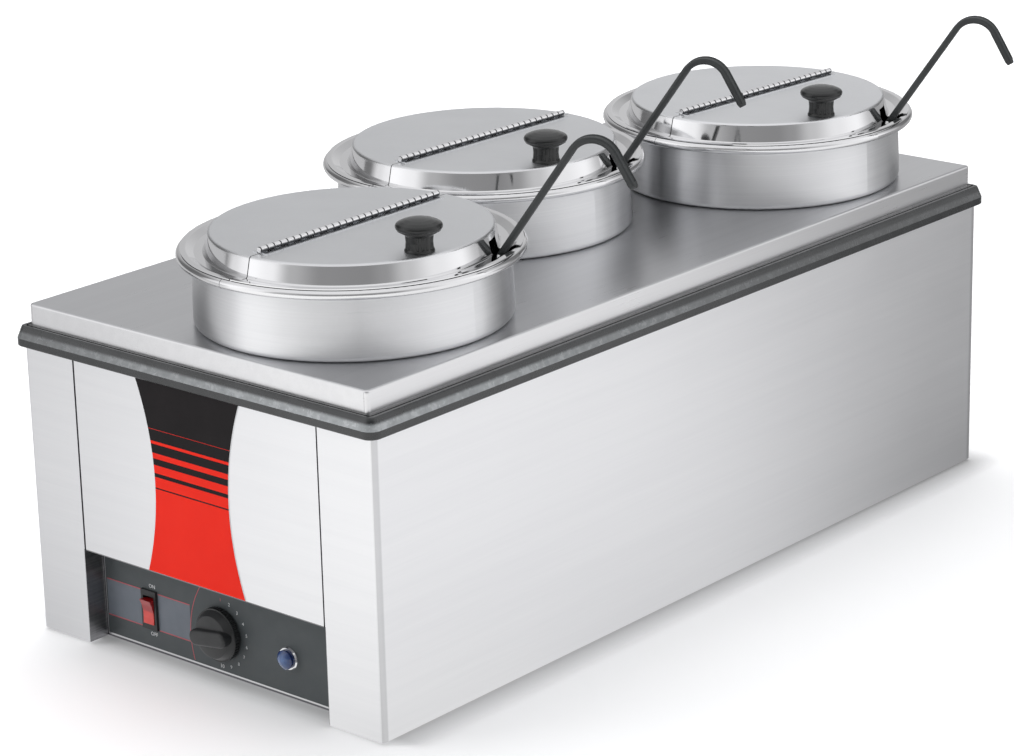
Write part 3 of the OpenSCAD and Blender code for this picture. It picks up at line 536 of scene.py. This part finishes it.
def two_tone_rocker(name, box):
    """Red plastic, painted darker above its middle and lighter below as painted light."""
    low, high = box
    material, tree = new_material(name)
    vector = object_coordinates(tree, (low + high) / 2)
    upper = map_range(tree, split(tree, vector)["Z"], -0.001, 0.0012, 0, 1, True)
    skin = place_group(tree, MOULDED, vector, Size=1200)
    painted_lit_red = mix_color(tree, skin["Waves"], (0.66, 0.035, 0.03), (0.80, 0.07, 0.055))
    deep = mix_color(tree, skin["Waves"], (0.34, 0.008, 0.012), (0.46, 0.014, 0.016))
    # painted light: the lower half is painted lighter, the upper half darker
    color = mix_color(tree, upper, painted_lit_red, deep)
    rough = map_range(tree, skin["Skin"], 0.3, 0.7, 0.12, 0.20)
    finish_surface(tree, color, rough, skin["Skin"], 0.00001, 0.1, Coat_Weight=0.4, Coat_Roughness=0.06)
    return material


def lens_glass(name, box):
    """Clear blue lens, painted lighter at its middle as a painted highlight and so darker towards its rim,
    and a little cloudy inside.
    """
    low, high = box
    material, tree = new_material(name)
    centre = (low + high) / 2
    vector = object_coordinates(tree, (centre.x, 0, centre.z))
    x, _, z = split(tree, vector)
    ring = map_range(tree, distance(tree, x, z), 0, LENS_RIM, 0, 1)
    marks = place_group(tree, MARKS, vector, Size=160)
    deep = mix_color(tree, marks["Clouds"], (0.060, 0.15, 0.40), (0.13, 0.28, 0.58))
    # painted highlight: the middle of the lens is painted lighter than its rim
    color = mix_color(tree, ring, deep, (0.012, 0.035, 0.16))
    rough = map_range(tree, marks["Clouds"], 0, 1, 0.08, 0.16)
    finish_surface(tree, color, rough, marks["Clouds"], 0.00002, 0.2, Transmission_Weight=0.15, IOR=1.49,
                   Metallic=0.0, Coat_Weight=0.6, Coat_Roughness=0.05)
    return material


def wool_fleece(name):
    """Yellow mineral wool."""
    material, tree = new_material(name)
    vector = object_coordinates(tree)
    skin = place_group(tree, MOULDED, vector, Size=420)
    color = mix_color(tree, skin["Skin"], (0.62, 0.52, 0.26), (0.86, 0.78, 0.5))
    rough = map_range(tree, skin["Skin"], 0.3, 0.7, 0.85, 0.98)
    finish_surface(tree, color, rough, skin["Skin"], 0.001, 0.8)
    return material


def below_plate_top(tree, vector):
    """The folded skirt of the plate, up to its bend, which is painted lighter than the top as painted light.
    """
    return math_node(tree, "LESS_THAN", split(tree, vector)["Z"], plate_top - PLATE_BEND)


def inside_recess(tree, vector):
    """The returns of the posts beside the control panel, which face each other: the case steel is painted
    darker there as shade.
    """
    x, y, z = split(tree, vector)
    across = math_node(tree, "LESS_THAN", math_node(tree, "ABSOLUTE", x), RECESS_HALF)
    front = math_node(tree, "LESS_THAN", y, panel_face + 0.004)
    below = math_node(tree, "LESS_THAN", z, RECESS_TOP)
    return math_node(tree, "MULTIPLY", math_node(tree, "MULTIPLY", across, front), below)


def folded_edges(tree, vector):
    """The tight bends at the upright corners of the case, and the hem along its foot, which lie in shade."""
    _, y, z = split(tree, vector)
    facing = split(tree, add(tree, "ShaderNodeNewGeometry").outputs["True Normal"])["X"]
    sideways = math_node(tree, "GREATER_THAN", math_node(tree, "ABSOLUTE", facing), 0.5)
    depth = math_node(tree, "ABSOLUTE", y)
    bend = map_range(tree, depth, case_depth - 0.0034, case_depth - 0.0016, 0, BEND_SHADE, True)
    hem = math_node(tree, "LESS_THAN", z, HEM)
    return math_node(tree, "MAXIMUM", math_node(tree, "MULTIPLY", bend, sideways), hem)


def panel_edge(tree, vector):
    """The lower edge of the control panel, painted dark as shade."""
    return math_node(tree, "LESS_THAN", split(tree, vector)["Z"], PANEL_EDGE)


# case steel: the returns in the recess are painted darker as shade, and the corner bends and the hem along
# the foot are painted in shade
case_steel = brushed_sheet("case steel", (14, 14, 700), (0.850, 0.853, 0.868), (0.888, 0.890, 0.902),
                           0.32, 0.36, (inside_recess, (0.16, 0.16, 0.17), (0.36, 0.36, 0.37)), folded_edges)
# panel steel: a darker copy of the case steel, painted shade for the recessed panel, with its lower edge
# painted darker still as shade
panel_steel = brushed_sheet("panel steel", (14, 14, 700), (0.60, 0.60, 0.61), (0.68, 0.68, 0.69),
                            0.32, 0.36, (panel_edge, (0.10, 0.10, 0.11), (0.14, 0.14, 0.15)))
# plate steel: the skirt is a lighter copy of the same sheet, as painted light
plate_steel = brushed_sheet("plate steel", (900, 9, 900), (0.63, 0.635, 0.65), (0.68, 0.685, 0.70),
                            0.26, 0.30, (below_plate_top, (0.78, 0.78, 0.79), (0.84, 0.84, 0.85)))
well_steel = brushed_sheet("well steel", (12, 12, 500), (0.66, 0.67, 0.68), (0.78, 0.78, 0.79), 0.28, 0.36)
zinc_sheet = small_metal("zinc sheet", (0.50, 0.51, 0.53), (0.68, 0.69, 0.70), 0.38, 0.55, 25)
knuckle_dark = small_metal("knuckle dark", (0.50, 0.50, 0.51), (0.62, 0.62, 0.63), 0.26, 0.36, 90)
pin_steel = small_metal("pin steel", (0.74, 0.74, 0.75), (0.86, 0.86, 0.87), 0.14, 0.24, 90)
chrome = small_metal("plated ring", (0.80, 0.81, 0.83), (0.92, 0.92, 0.93), 0.05, 0.10, 120)
sheath = small_metal("heated sheath", (0.10, 0.09, 0.085), (0.24, 0.21, 0.19), 0.42, 0.6, 40)
copper = small_metal("drawn copper", (0.62, 0.30, 0.17), (0.80, 0.42, 0.26), 0.2, 0.32, 60)
rim_resin = rim_bloom("rim resin")
knob_black = moulded("knob black", (0.006, 0.007, 0.007), (0.012, 0.013, 0.013), 0.18, 0.26,
                     1500, 0.00001, 0.15, Coat_Weight=0.08, Coat_Roughness=0.12)
control_black = moulded("control black", (0.016, 0.017, 0.018), (0.030, 0.031, 0.032), 0.34, 0.44,
                        2600, 0.00002, 0.3)
grip_dark = moulded("grip dark", (0.022, 0.025, 0.026), (0.050, 0.054, 0.055), 0.34, 0.46, 1100, 0.00006, 0.4)
overlay_dark = film("overlay dark", (0.070, 0.080, 0.084), (0.082, 0.092, 0.096))
rocker_red = two_tone_rocker("rocker red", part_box("switch_rocker"))
foot_rubber = moulded("foot rubber", (0.018, 0.018, 0.018), (0.035, 0.035, 0.034), 0.6, 0.78,
                      900, 0.0001, 0.5)
cream_ceramic = moulded("cream ceramic", (0.62, 0.58, 0.50), (0.76, 0.72, 0.64), 0.38, 0.52,
                        700, 0.00005, 0.3)
wool = wool_fleece("mineral wool")
badge = badge_film("badge film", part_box("front_badge"))
lens = lens_glass("lens blue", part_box("lamp_lens"))

FINISH = {"stainless_case": case_steel, "stainless_plate": plate_steel, "stainless_satin": well_steel,
          "steel_small": pin_steel, "black_resin": rim_resin, "black_phenolic": knob_black,
          "grip_plastic": grip_dark, "overlay_film": overlay_dark, "badge_film": badge,
          "red_rocker": rocker_red, "blue_lens": lens, "chrome_ring": chrome, "galvanised": zinc_sheet,
          "rubber_black": foot_rubber, "fibre_wool": wool, "element_sheath": sheath, "copper_tube": copper,
          "ceramic_body": cream_ceramic}


def finish_cad_nodes():
    own = {"heat_knob": control_black, "switch_frame": control_black, "control_panel": panel_steel}
    for i in KETTLES:
        low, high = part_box("inset_%d" % i)
        centre = (low + high) / 2
        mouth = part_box("inset_neck_%d" % i)[1].z - POLISHED_MOUTH
        finishes = {
            "inset_%d inset_neck_%d": spun_steel("inset steel %d" % i, centre, mouth, 0.33),
            "cover_rear_%d cover_flap_%d": cover_steel("cover steel %d" % i, centre, COVER_PAINTED_LIGHT[i - 1]),
            "ladle_bowl_%d": spun_steel("ladle steel %d" % i, centre, NO_POLISH, 0.2),
            "hinge_front_%d hinge_rear_%d": hinge_steel("hinge steel %d" % i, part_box("hinge_front_%d" % i)),
        }
        own.update((name.replace("%d", str(i)), steel) for names, steel in finishes.items()
                   for name in names.split())
    for name, piece in nodes.items():
        material = own.get(name) or FINISH[SLOT[name]]
        piece.data.materials.clear()
        piece.data.materials.append(material)


finish_cad_nodes()

print_white = film("print white", (0.70, 0.71, 0.72), (0.80, 0.81, 0.82), 0.44)
print_grey = film("print grey", (0.155, 0.175, 0.205), (0.185, 0.205, 0.235))
print_red = film("print red", (0.50, 0.09, 0.11), (0.60, 0.12, 0.14))
seam_steel = small_metal("seam steel", (0.30, 0.30, 0.31), (0.46, 0.46, 0.47), 0.22, 0.34, 200)


# ---------------------------------------------------------------- new pieces

FILM = 0.00008
PROUD = 0.00002                 # how far the back of a print or seam stands off what carries it
TURNED_UP = (math.pi / 2, 0, 0)
BLOCK_LOW, BLOCK_HIGH, BLOCKS_END = 0.0203, 0.0485, -0.0322
ROCKER_GAP = (-0.082, -0.066)   # the grey blocks leave this free for the rocker
RED_LINE, LINE_GAP = 0.0007, 0.0004
ARC_CENTRE, ARC_RADIUS, ARC_WIDTH = (0.0375, 0.0265), 0.070, 0.0006
WORD_TALL, NUMERAL_TALL, LAST_TALL = 0.0030, 0.0026, 0.0031
BADGE_WAIST, BADGE_FLARE = 0.0374, 0.0122   # half of its width at the waist, and what the foot adds
CONE_HEIGHT, CONE_SHARE = 0.0052, 0.84
GRIP_SIZE, GRIP_MIDDLE = (0.0368, 0.0122, 0.0144), 0.0078
BEAD_TUBE, SEAM_WIDTH = 0.0035, 0.0005
SKIRT_RIBS, SKIRT_RADIUS, SKIRT_HEIGHT = 96, 0.0204, 0.0046
overlay_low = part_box("control_overlay")[0]


def select_only(piece):
    deselect()
    piece.select_set(True)
    bpy.context.view_layer.objects.active = piece


def settle(piece, name, body, material, smooth=None):
    """Put a piece's place into its mesh, and give it its name, body and finish."""
    select_only(piece)
    bpy.ops.object.transform_apply(location=True, rotation=True, scale=True)
    if smooth is not None:
        bpy.ops.object.shade_smooth_by_angle(angle=math.radians(smooth))
    piece.name = piece.data.name = name
    piece.data.materials.clear()
    piece.data.materials.append(material)
    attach(piece, body)
    deselect()
    return piece


def new_plane(place, rotation, width, height, whole=True):
    """A flat sheet; whole puts its place and turn into its mesh as well as its size."""
    deselect()
    bpy.ops.mesh.primitive_plane_add(size=1, location=place, rotation=rotation)
    piece = bpy.context.object
    piece.scale = (width, height, 1)
    bpy.ops.object.transform_apply(location=whole, rotation=whole, scale=True)
    return piece


def edit_all():
    bpy.ops.object.mode_set(mode="EDIT")
    bpy.ops.mesh.select_all(action="SELECT")


def extrude(x, y, z):
    bpy.ops.mesh.extrude_region_move(TRANSFORM_OT_translate={"value": (x, y, z)})


def pick(piece, wanted, kind="FACE"):
    """Go into edit mode with the faces or edges that are wanted selected, and nothing else."""
    bpy.ops.object.mode_set(mode="EDIT")
    bpy.ops.mesh.select_mode(type=kind)
    bpy.ops.mesh.select_all(action="DESELECT")
    bpy.ops.object.mode_set(mode="OBJECT")
    for item in (piece.data.polygons if kind == "FACE" else piece.data.edges):
        item.select = wanted(item)
    bpy.ops.object.mode_set(mode="EDIT")


def tidy_normals():
    bpy.ops.mesh.select_mode(type="VERT")
    bpy.ops.mesh.select_all(action="SELECT")
    bpy.ops.mesh.remove_doubles(threshold=0.000002)
    bpy.ops.mesh.normals_make_consistent(inside=False)
    bpy.ops.object.mode_set(mode="OBJECT")


def printed_block(name, x, z, width, height, material):
    """A block of ink on the overlay: a thin film with a soft edge."""
    piece = new_plane((x, overlay_low.y + PROUD, z), TURNED_UP, width, height, False)
    edit_all()
    extrude(0, -FILM * 0.7, 0)
    bpy.ops.mesh.inset(thickness=min(width, height) * 0.08, depth=FILM * 0.3)
    tidy_normals()
    settle(piece, name, "base", material)


def printed_word(name, word, place, tall, material):
    """A printed word or numeral on the overlay, its middle at the place."""
    deselect()
    bpy.ops.object.text_add(location=(0, 0, 0))
    text = bpy.context.object.data
    text.body, text.size, text.extrude, text.resolution_u = word, tall * 1.42, FILM / 2, 3
    bpy.ops.object.convert(target="MESH")
    piece = bpy.context.object
    low, high = (Vector([side(v.co[i] for v in piece.data.vertices) for i in range(3)])
                 for side in (min, max))
    edit_all()
    bpy.ops.transform.translate(value=tuple(-(low + high) / 2))
    tidy_normals()
    piece.rotation_euler = TURNED_UP
    piece.location = (place[0], overlay_low.y - FILM / 2 + PROUD, place[2])
    settle(piece, name, "base", material)


def printed_arc(name, centre, radius, low, high, width, material):
    """A thin curved line of ink, turned about a centre on the overlay from angle low to high."""
    x, z = centre
    start = (x + radius * math.cos(low), overlay_low.y + PROUD - FILM / 2, z + radius * math.sin(low))
    piece = new_plane(start, (0, -low, 0), width, FILM)
    edit_all()
    bpy.ops.mesh.spin(steps=36, angle=low - high, center=(x, overlay_low.y, z), axis=(0, -1, 0))
    tidy_normals()
    settle(piece, name, "base", material)


def print_overlay():
    dial_low, dial_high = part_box("heat_knob")
    dial = (dial_low + dial_high) / 2
    blocks = (("ink_block_left", overlay_low.x + 0.0012, ROCKER_GAP[0]),
              ("ink_block_right", ROCKER_GAP[1], BLOCKS_END))
    for name, left, right in blocks:
        middle, width = (left + right) / 2, right - left
        printed_block(name, middle, (BLOCK_LOW + BLOCK_HIGH) / 2, width, BLOCK_HIGH - BLOCK_LOW, print_grey)
        for edge, z in (("low", BLOCK_LOW - LINE_GAP), ("high", BLOCK_HIGH + LINE_GAP)):
            printed_block("%s_%s_line" % (name, edge), middle, z, width, RED_LINE, print_red)
    printed_arc("ink_arc", ARC_CENTRE, ARC_RADIUS, math.radians(139), math.radians(197), ARC_WIDTH, print_red)
    for name, word in (("word_on", "ON"), ("word_off", "OFF")):
        printed_word(name, word, place_on(name, "control_overlay"), WORD_TALL, print_white)
    first = place_on("first_numeral", "control_overlay")
    radius = math.hypot(first.x - dial.x, first.z - dial.z)
    for k in range(10):
        angle = math.radians(89 - 20 * k)
        spot = (dial.x + radius * math.cos(angle), 0, dial.z + radius * math.sin(angle))
        printed_word("numeral_%d" % (k + 1), str(k + 1), spot, LAST_TALL if k == 9 else NUMERAL_TALL,
                     print_red if k == 0 else print_white)


def waisted_badge(name, grow, depth, material):
    """The front badge, drawn up from its foot in steps: wide at both ends and drawn in at the middle."""
    low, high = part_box("front_badge")
    middle, top = (low.x + high.x) / 2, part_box("well_rim")[0].z - 0.0004
    waist = low.z + 0.47 * (top - low.z)

    def half_width(z):
        return BADGE_WAIST + BADGE_FLARE * ((z - waist) / (waist - low.z)) ** 2 + grow

    steps = 24
    rise = (top - low.z) / steps
    piece = new_plane((middle, high.y, low.z + rise / 2), TURNED_UP, 2 * half_width(low.z), rise)
    ends = piece.data.vertices
    pick(piece, lambda edge: all(ends[v].co.z > low.z + rise * 0.9 for v in edge.vertices), "EDGE")
    for k in range(1, steps + 1):
        z = low.z + k * rise
        if k > 1:
            extrude(0, 0, rise)
        ratio = half_width(z) / half_width(z - rise)
        bpy.ops.transform.resize(value=(ratio, 1, 1), center_override=(middle, high.y, z))
    bpy.ops.mesh.select_all(action="SELECT")
    extrude(0, -depth, 0)
    bpy.ops.mesh.inset(thickness=0.0002, depth=0.00005)
    tidy_normals()
    return settle(piece, name, "base", material)


def front_badge_piece():
    low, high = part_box("front_badge")
    waisted_badge("badge_border", 0.0006, (high.y - low.y) * 0.5, print_white)
    face = waisted_badge("badge_face", 0, (high.y - low.y) * 0.8, badge)
    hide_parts("front_badge")


def knob_body():
    """The ribbed skirt of the heat knob, and its coned body."""
    bpy.ops.mesh.primitive_cylinder_add(vertices=SKIRT_RIBS, radius=SKIRT_RADIUS, depth=SKIRT_HEIGHT,
                                        location=(0, 0, SKIRT_HEIGHT / 2))
    body = bpy.context.object
    bpy.ops.object.transform_apply(location=True, rotation=True, scale=True)
    pitch = math.radians(360 / SKIRT_RIBS)
    pick(body, lambda face: abs(face.normal.z) < 0.1
         and round(math.atan2(face.center.y, face.center.x) / pitch - 0.5) % 2 == 0)
    bpy.ops.mesh.inset(thickness=0.0001, depth=-0.0006, use_individual=True)
    pick(body, lambda face: face.normal.z > 0.9 and face.area > 0.0001)
    bpy.ops.mesh.inset(thickness=0.0010)
    extrude(0, 0, CONE_HEIGHT)
    bpy.ops.transform.resize(value=(CONE_SHARE, CONE_SHARE, 1))
    bpy.ops.mesh.inset(thickness=0.0016)
    bpy.ops.transform.translate(value=(0, 0, 0.0007))
    bpy.ops.object.mode_set(mode="OBJECT")
    return body


def knob_grip():
    """The rounded grip across the heat knob."""
    bpy.ops.mesh.primitive_cube_add(size=1, location=(0, 0, GRIP_MIDDLE))
    grip = bpy.context.object
    grip.scale = GRIP_SIZE
    bpy.ops.object.transform_apply(location=True, rotation=True, scale=True)
    corners = grip.data.vertices
    pick(grip, lambda edge: len({corners[v].co.z > SKIRT_HEIGHT for v in edge.vertices}) == 2, "EDGE")
    bpy.ops.mesh.bevel(offset=0.0058, segments=8, affect="EDGES")
    pick(grip, lambda face: face.normal.z > 0.9)
    bpy.ops.mesh.bevel(offset=0.0022, segments=4, affect="EDGES")
    bpy.ops.object.mode_set(mode="OBJECT")
    return grip


def heat_knob_piece():
    """The heat knob; its grip points left and a little down."""
    low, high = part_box("heat_knob")
    centre = (low + high) / 2
    deselect()
    piece = knob_body()
    deselect()
    grip = knob_grip()
    piece.select_set(True)
    grip.select_set(True)
    bpy.context.view_layer.objects.active = piece
    bpy.ops.object.join()
    bpy.ops.object.mode_set(mode="EDIT")
    tidy_normals()
    piece.matrix_world = (Matrix.Translation((centre.x, high.y, centre.z))
                          @ Matrix.Rotation(math.pi / 2, 4, "X") @ Matrix.Rotation(math.radians(8), 4, "Z"))
    settle(piece, "heat_knob_moulding", "dial", control_black, 30)
    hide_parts("heat_knob")


def bead_seam(i, angle):
    """A thin band round the rolled bead of an inset, at an angle round its mouth."""
    low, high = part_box("inset_neck_%d" % i)
    centre, reach = (low + high) / 2, (high.x - low.x) / 2 - BEAD_TUBE - PROUD
    deselect()
    bpy.ops.mesh.primitive_circle_add(vertices=20, radius=BEAD_TUBE + 0.00012, location=(0, 0, 0),
                                      rotation=TURNED_UP)
    piece = bpy.context.object
    bpy.ops.object.transform_apply(location=False, rotation=True, scale=False)
    bpy.ops.object.mode_set(mode="EDIT")
    bpy.ops.mesh.select_mode(type="VERT")
    bpy.ops.mesh.select_all(action="SELECT")
    bpy.ops.transform.translate(value=(0, -SEAM_WIDTH / 2, 0))
    extrude(0, SEAM_WIDTH, 0)
    bpy.ops.object.mode_set(mode="OBJECT")
    thick = piece.modifiers.new("wall", "SOLIDIFY")
    thick.thickness, thick.offset = 0.0002, -1
    bpy.ops.object.modifier_apply(modifier=thick.name)
    bpy.ops.object.mode_set(mode="EDIT")
    tidy_normals()
    piece.rotation_euler = (0, 0, angle)
    piece.location = (centre.x + reach * math.cos(angle), centre.y + reach * math.sin(angle),
                      high.z - BEAD_TUBE)
    settle(piece, "bead_seam_%d" % i, "inset_%d_body" % i, seam_steel, 40)


def bead_seams():
    """The fine line where the rolled bead of each inset closes, at the same angle on all three."""
    low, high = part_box("inset_neck_1")
    seen, centre = place_on("bead_seam", "inset_neck_1"), (low + high) / 2
    angle = math.atan2(seen.y - centre.y, seen.x - centre.x)
    for i in KETTLES:
        bead_seam(i, angle)


def plate_corner_seams():
    """The dark hairline where the folded skirt of the plate is closed at each corner."""
    low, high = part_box("adapter_plate")
    tall = high.z - low.z - 0.0022
    for end, y, turn in (("near", low.y, 1), ("far", high.y, -1)):
        for side, x in (("right", high.x - 0.0032), ("left", low.x + 0.0032)):
            piece = new_plane((x, y + turn * PROUD, (low.z + high.z) / 2 - 0.0004),
                              (turn * math.pi / 2, 0, 0), SEAM_WIDTH, tall, False)
            edit_all()
            extrude(0, -turn * FILM * 0.7, 0)
            bpy.ops.mesh.inset(thickness=0.0001, depth=FILM * 0.2)
            tidy_normals()
            settle(piece, "plate_seam_%s_%s" % (end, side), "plate", knuckle_dark)


print_overlay()
front_badge_piece()
heat_knob_piece()
bead_seams()
plate_corner_seams()

# ---------------------------------------------------------------- stage and light

# Brightness of the floor as steel sees it, by lane in metres: (lane, brightness). The lanes run from the
# front left to the rear right; the first row holds for their front left half, the second for the rest.
FRONT_LANES = ((-0.6, 0.50), (0.05, 0.64), (0.16, 0.72), (0.24, 0.88), (0.42, 1.08), (0.55, 1.13),
               (1.2, 1.08))
BACK_LANES = ((-0.9, 0.36), (-0.24, 0.28), (-0.08, 0.42), (0.05, 0.68), (0.16, 0.86), (0.35, 0.93),
              (0.9, 0.92))

# What steel reflects above the floor, by compass angle from +X: (turn in degrees, brightness).
STUDIO = ((-180, 0.14), (-162, 0.20), (-150, 0.85), (-131, 1.20), (-112, 1.05), (-95, 0.50), (-70, 0.30),
          (-36, 0.28), (-22, 0.34), (-4, 0.62), (20, 0.95), (45, 1.10), (66, 0.60), (82, 0.20), (100, 0.16),
          (112, 0.52), (124, 0.64), (136, 0.56), (152, 0.42), (168, 0.16))

SHADOW_REACH, SHADOW_DEPTH = 0.028, 0.58
# the front panel stands back from the foot, so the floor before it is shaded as if it lay further off
FRONT_RELIEF = 0.0208


def grey_ramp(tree, share, stops, interpolation):
    """A run of slightly cool greys, at stops from 0 to 1: (stop, brightness)."""
    ramp = add(tree, "ShaderNodeValToRGB", {0: share})
    ramp.color_ramp.interpolation = interpolation
    elements = ramp.color_ramp.elements
    while len(elements) > 1:
        elements.remove(elements[-1])
    for k, (stop, grey) in enumerate(stops):
        element = elements[0] if k == 0 else elements.new(stop)
        element.position, element.color = stop, (grey, grey, grey * 1.01, 1)
    return ramp.outputs[0]


def floor_tone(tree, x, y, away):
    """What polished steel sees of the floor: grey lanes, deeper close to the foot of the case."""
    share = map_range(tree, lane_of(tree, x, y), -2, 2, 0, 1)
    rows = [grey_ramp(tree, share, [((lane + 2) / 4, grey) for lane, grey in lanes], "B_SPLINE")
            for lanes in (FRONT_LANES, BACK_LANES)]
    along = math_node(tree, "ADD", math_node(tree, "MULTIPLY", x, 0.66), math_node(tree, "MULTIPLY", y, 0.75))
    tone = mix_color(tree, map_range(tree, along, -0.15, 0.15, 0, 1, True), *rows)
    near_foot = map_range(tree, away, 0, 0.30, 0.82, 1.06)
    ahead = map_range(tree, x, 0.12, 0.20, 1.06, 1, True)
    return scaled(tree, tone, math_node(tree, "MULTIPLY", near_foot, ahead))


def outside(tree, coordinate, half):
    """How far a coordinate lies beyond the case, or 0 under it."""
    beyond = math_node(tree, "SUBTRACT", math_node(tree, "ABSOLUTE", coordinate), half)
    return math_node(tree, "MAXIMUM", beyond, 0)


def lay_floor():
    """Pale paper with a contact shadow at the foot of the case."""
    deselect()
    bpy.ops.mesh.primitive_plane_add(size=24, location=(0, 0, 0))
    floor = bpy.context.object
    floor.name = "floor"
    material, tree = new_material("floor white")
    path = add(tree, "ShaderNodeLightPath").outputs
    coords = add(tree, "ShaderNodeTexCoord").outputs["Object"]
    x, y, _ = split(tree, coords)
    away = distance(tree, outside(tree, x, case_half), outside(tree, y, case_depth))
    before = map_range(tree, y, panel_face + 0.001, panel_face - 0.016, 0, FRONT_RELIEF, True)
    shade = map_range(tree, math_node(tree, "ADD", away, before), 0, SHADOW_REACH, SHADOW_DEPTH, 1)
    paper = mix_color(tree, noise(tree, coords, 0.6, 1, 0.4), (0.93, 0.93, 0.94), (0.95, 0.95, 0.96))
    diffuse = add(tree, "ShaderNodeBsdfDiffuse", {"Color": scaled(tree, paper, shade)}).outputs[0]
    # far from the lamps the paper stays as white as it is near them
    far = map_range(tree, distance(tree, x, y), 0.9, 3.2, 0.21, 0.80, True)
    lift = add(tree, "ShaderNodeEmission",
               {"Color": (1, 1, 1), "Strength": math_node(tree, "MULTIPLY", shade, far)}).outputs[0]
    seen = add(tree, "ShaderNodeAddShader", {0: diffuse, 1: lift}).outputs[0]
    matt = mix_shader(tree, path["Is Camera Ray"], diffuse, seen)
    tone = floor_tone(tree, x, y, away)
    shine = add(tree, "ShaderNodeEmission", {"Color": tone, "Strength": 1.0}).outputs[0]
    mirror = math_node(tree, "MAXIMUM", path["Is Glossy Ray"], path["Is Transmission Ray"])
    close_tree(tree, mix_shader(tree, mirror, matt, shine))
    floor.data.materials.append(material)


def background(tree, color, strength):
    return add(tree, "ShaderNodeBackground", {"Color": color, "Strength": strength}).outputs[0]


def hang_sky():
    """White to the camera, soft light on matt things, and the greys of the studio to steel."""
    scene.world = bpy.data.worlds.new("studio")
    tree = new_tree(scene.world)
    x, y, z = split(tree, add(tree, "ShaderNodeTexCoord").outputs["Generated"])
    share = map_range(tree, math_node(tree, "ARCTAN2", y, x), -math.pi, math.pi, 0, 1)
    around = grey_ramp(tree, share, [((turn + 180) / 360, grey) for turn, grey in STUDIO], "EASE")
    tent = mix_color(tree, map_range(tree, z, 0.45, 0.8, 0, 1, True), around, (0.89, 0.89, 0.90))
    path = add(tree, "ShaderNodeLightPath").outputs
    light = mix_shader(tree, path["Is Glossy Ray"], background(tree, (0.98, 0.99, 1.0), 0.46),
                       background(tree, tent, 1.0))
    plain = math_node(tree, "MAXIMUM", path["Is Camera Ray"], path["Is Transmission Ray"])
    close_tree(tree, mix_shader(tree, plain, light, background(tree, (1, 1, 1), 1.0)),
               "ShaderNodeOutputWorld")


def hang_lamp(name, place, aim, size, watts):
    data = bpy.data.lights.new(name, "AREA")
    data.shape, data.size, data.size_y, data.energy = "RECTANGLE", *size, watts
    lamp = bpy.data.objects.new(name, data)
    scene.collection.objects.link(lamp)
    turn = (Vector(aim) - Vector(place)).to_track_quat("-Z", "Y").to_matrix().to_4x4()
    lamp.matrix_world = Matrix.Translation(Vector(place)) @ turn
    lamp.visible_glossy = False  # steel mirrors the studio, not the lamps


lay_floor()
hang_sky()
hang_lamp("overhead", (-0.7, 0.6, 2.5), (0, 0, 0.1), (2.6, 2.6), 50)
hang_lamp("front left", (-1.6, -1.9, 1.3), (0, 0, 0.2), (1.4, 1.8), 18)
hang_lamp("right side", (2.3, 0.6, 1.2), (0, 0, 0.2), (1.4, 1.6), 8)

scene.view_settings.view_transform = "Standard"

# ---------------------------------------------------------------- how the image points came out


def corner_seen(names, score):
    """The image point of the finished vertex that scores highest."""
    seen = (on_picture(nodes[name].matrix_world @ v.co) for name in names for v in nodes[name].data.vertices)
    return max(seen, key=lambda spot: score(*spot))


def middle_seen(name):
    piece = bpy.data.objects[name]
    xs, ys = zip(*(on_picture(piece.matrix_world @ v.co) for v in piece.data.vertices))
    return (min(xs) + max(xs)) / 2, (min(ys) + max(ys)) / 2


def write_points():
    plate, every = ["adapter_plate"], list(nodes)
    low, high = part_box("adapter_plate")
    found = {
        "object_left": corner_seen(every, lambda x, y: -x),
        "object_right": corner_seen(every, lambda x, y: x),
        "object_top": corner_seen(every, lambda x, y: -y),
        "object_bottom": corner_seen(every, lambda x, y: y),
        "case_foot_left": corner_seen(["case_left"], lambda x, y: y - 1.2 * x),
        "case_foot_rear": corner_seen(["case_right"], lambda x, y: y + 2.5 * x),
        "rim_near_corner": corner_seen(["rim_corners"], lambda x, y: y),
        "plate_left_corner": corner_seen(plate, lambda x, y: -x - 0.3 * y),
        "plate_near_corner": on_picture((high.x, low.y, high.z)),
        "plate_rear_corner": corner_seen(plate, lambda x, y: x - 0.3 * y),
        "ladle_1_top": corner_seen(["ladle_grip_1"], lambda x, y: -y),
    }
    pieces = {"heat_knob": "heat_knob_moulding", "rocker": "switch_rocker", "lamp": "lamp_lens",
              "first_numeral": "numeral_1", "bead_seam": "bead_seam_1"}
    for point in POINTS:
        if point not in found:
            found[point] = middle_seen(pieces.get(point, point))


write_points()
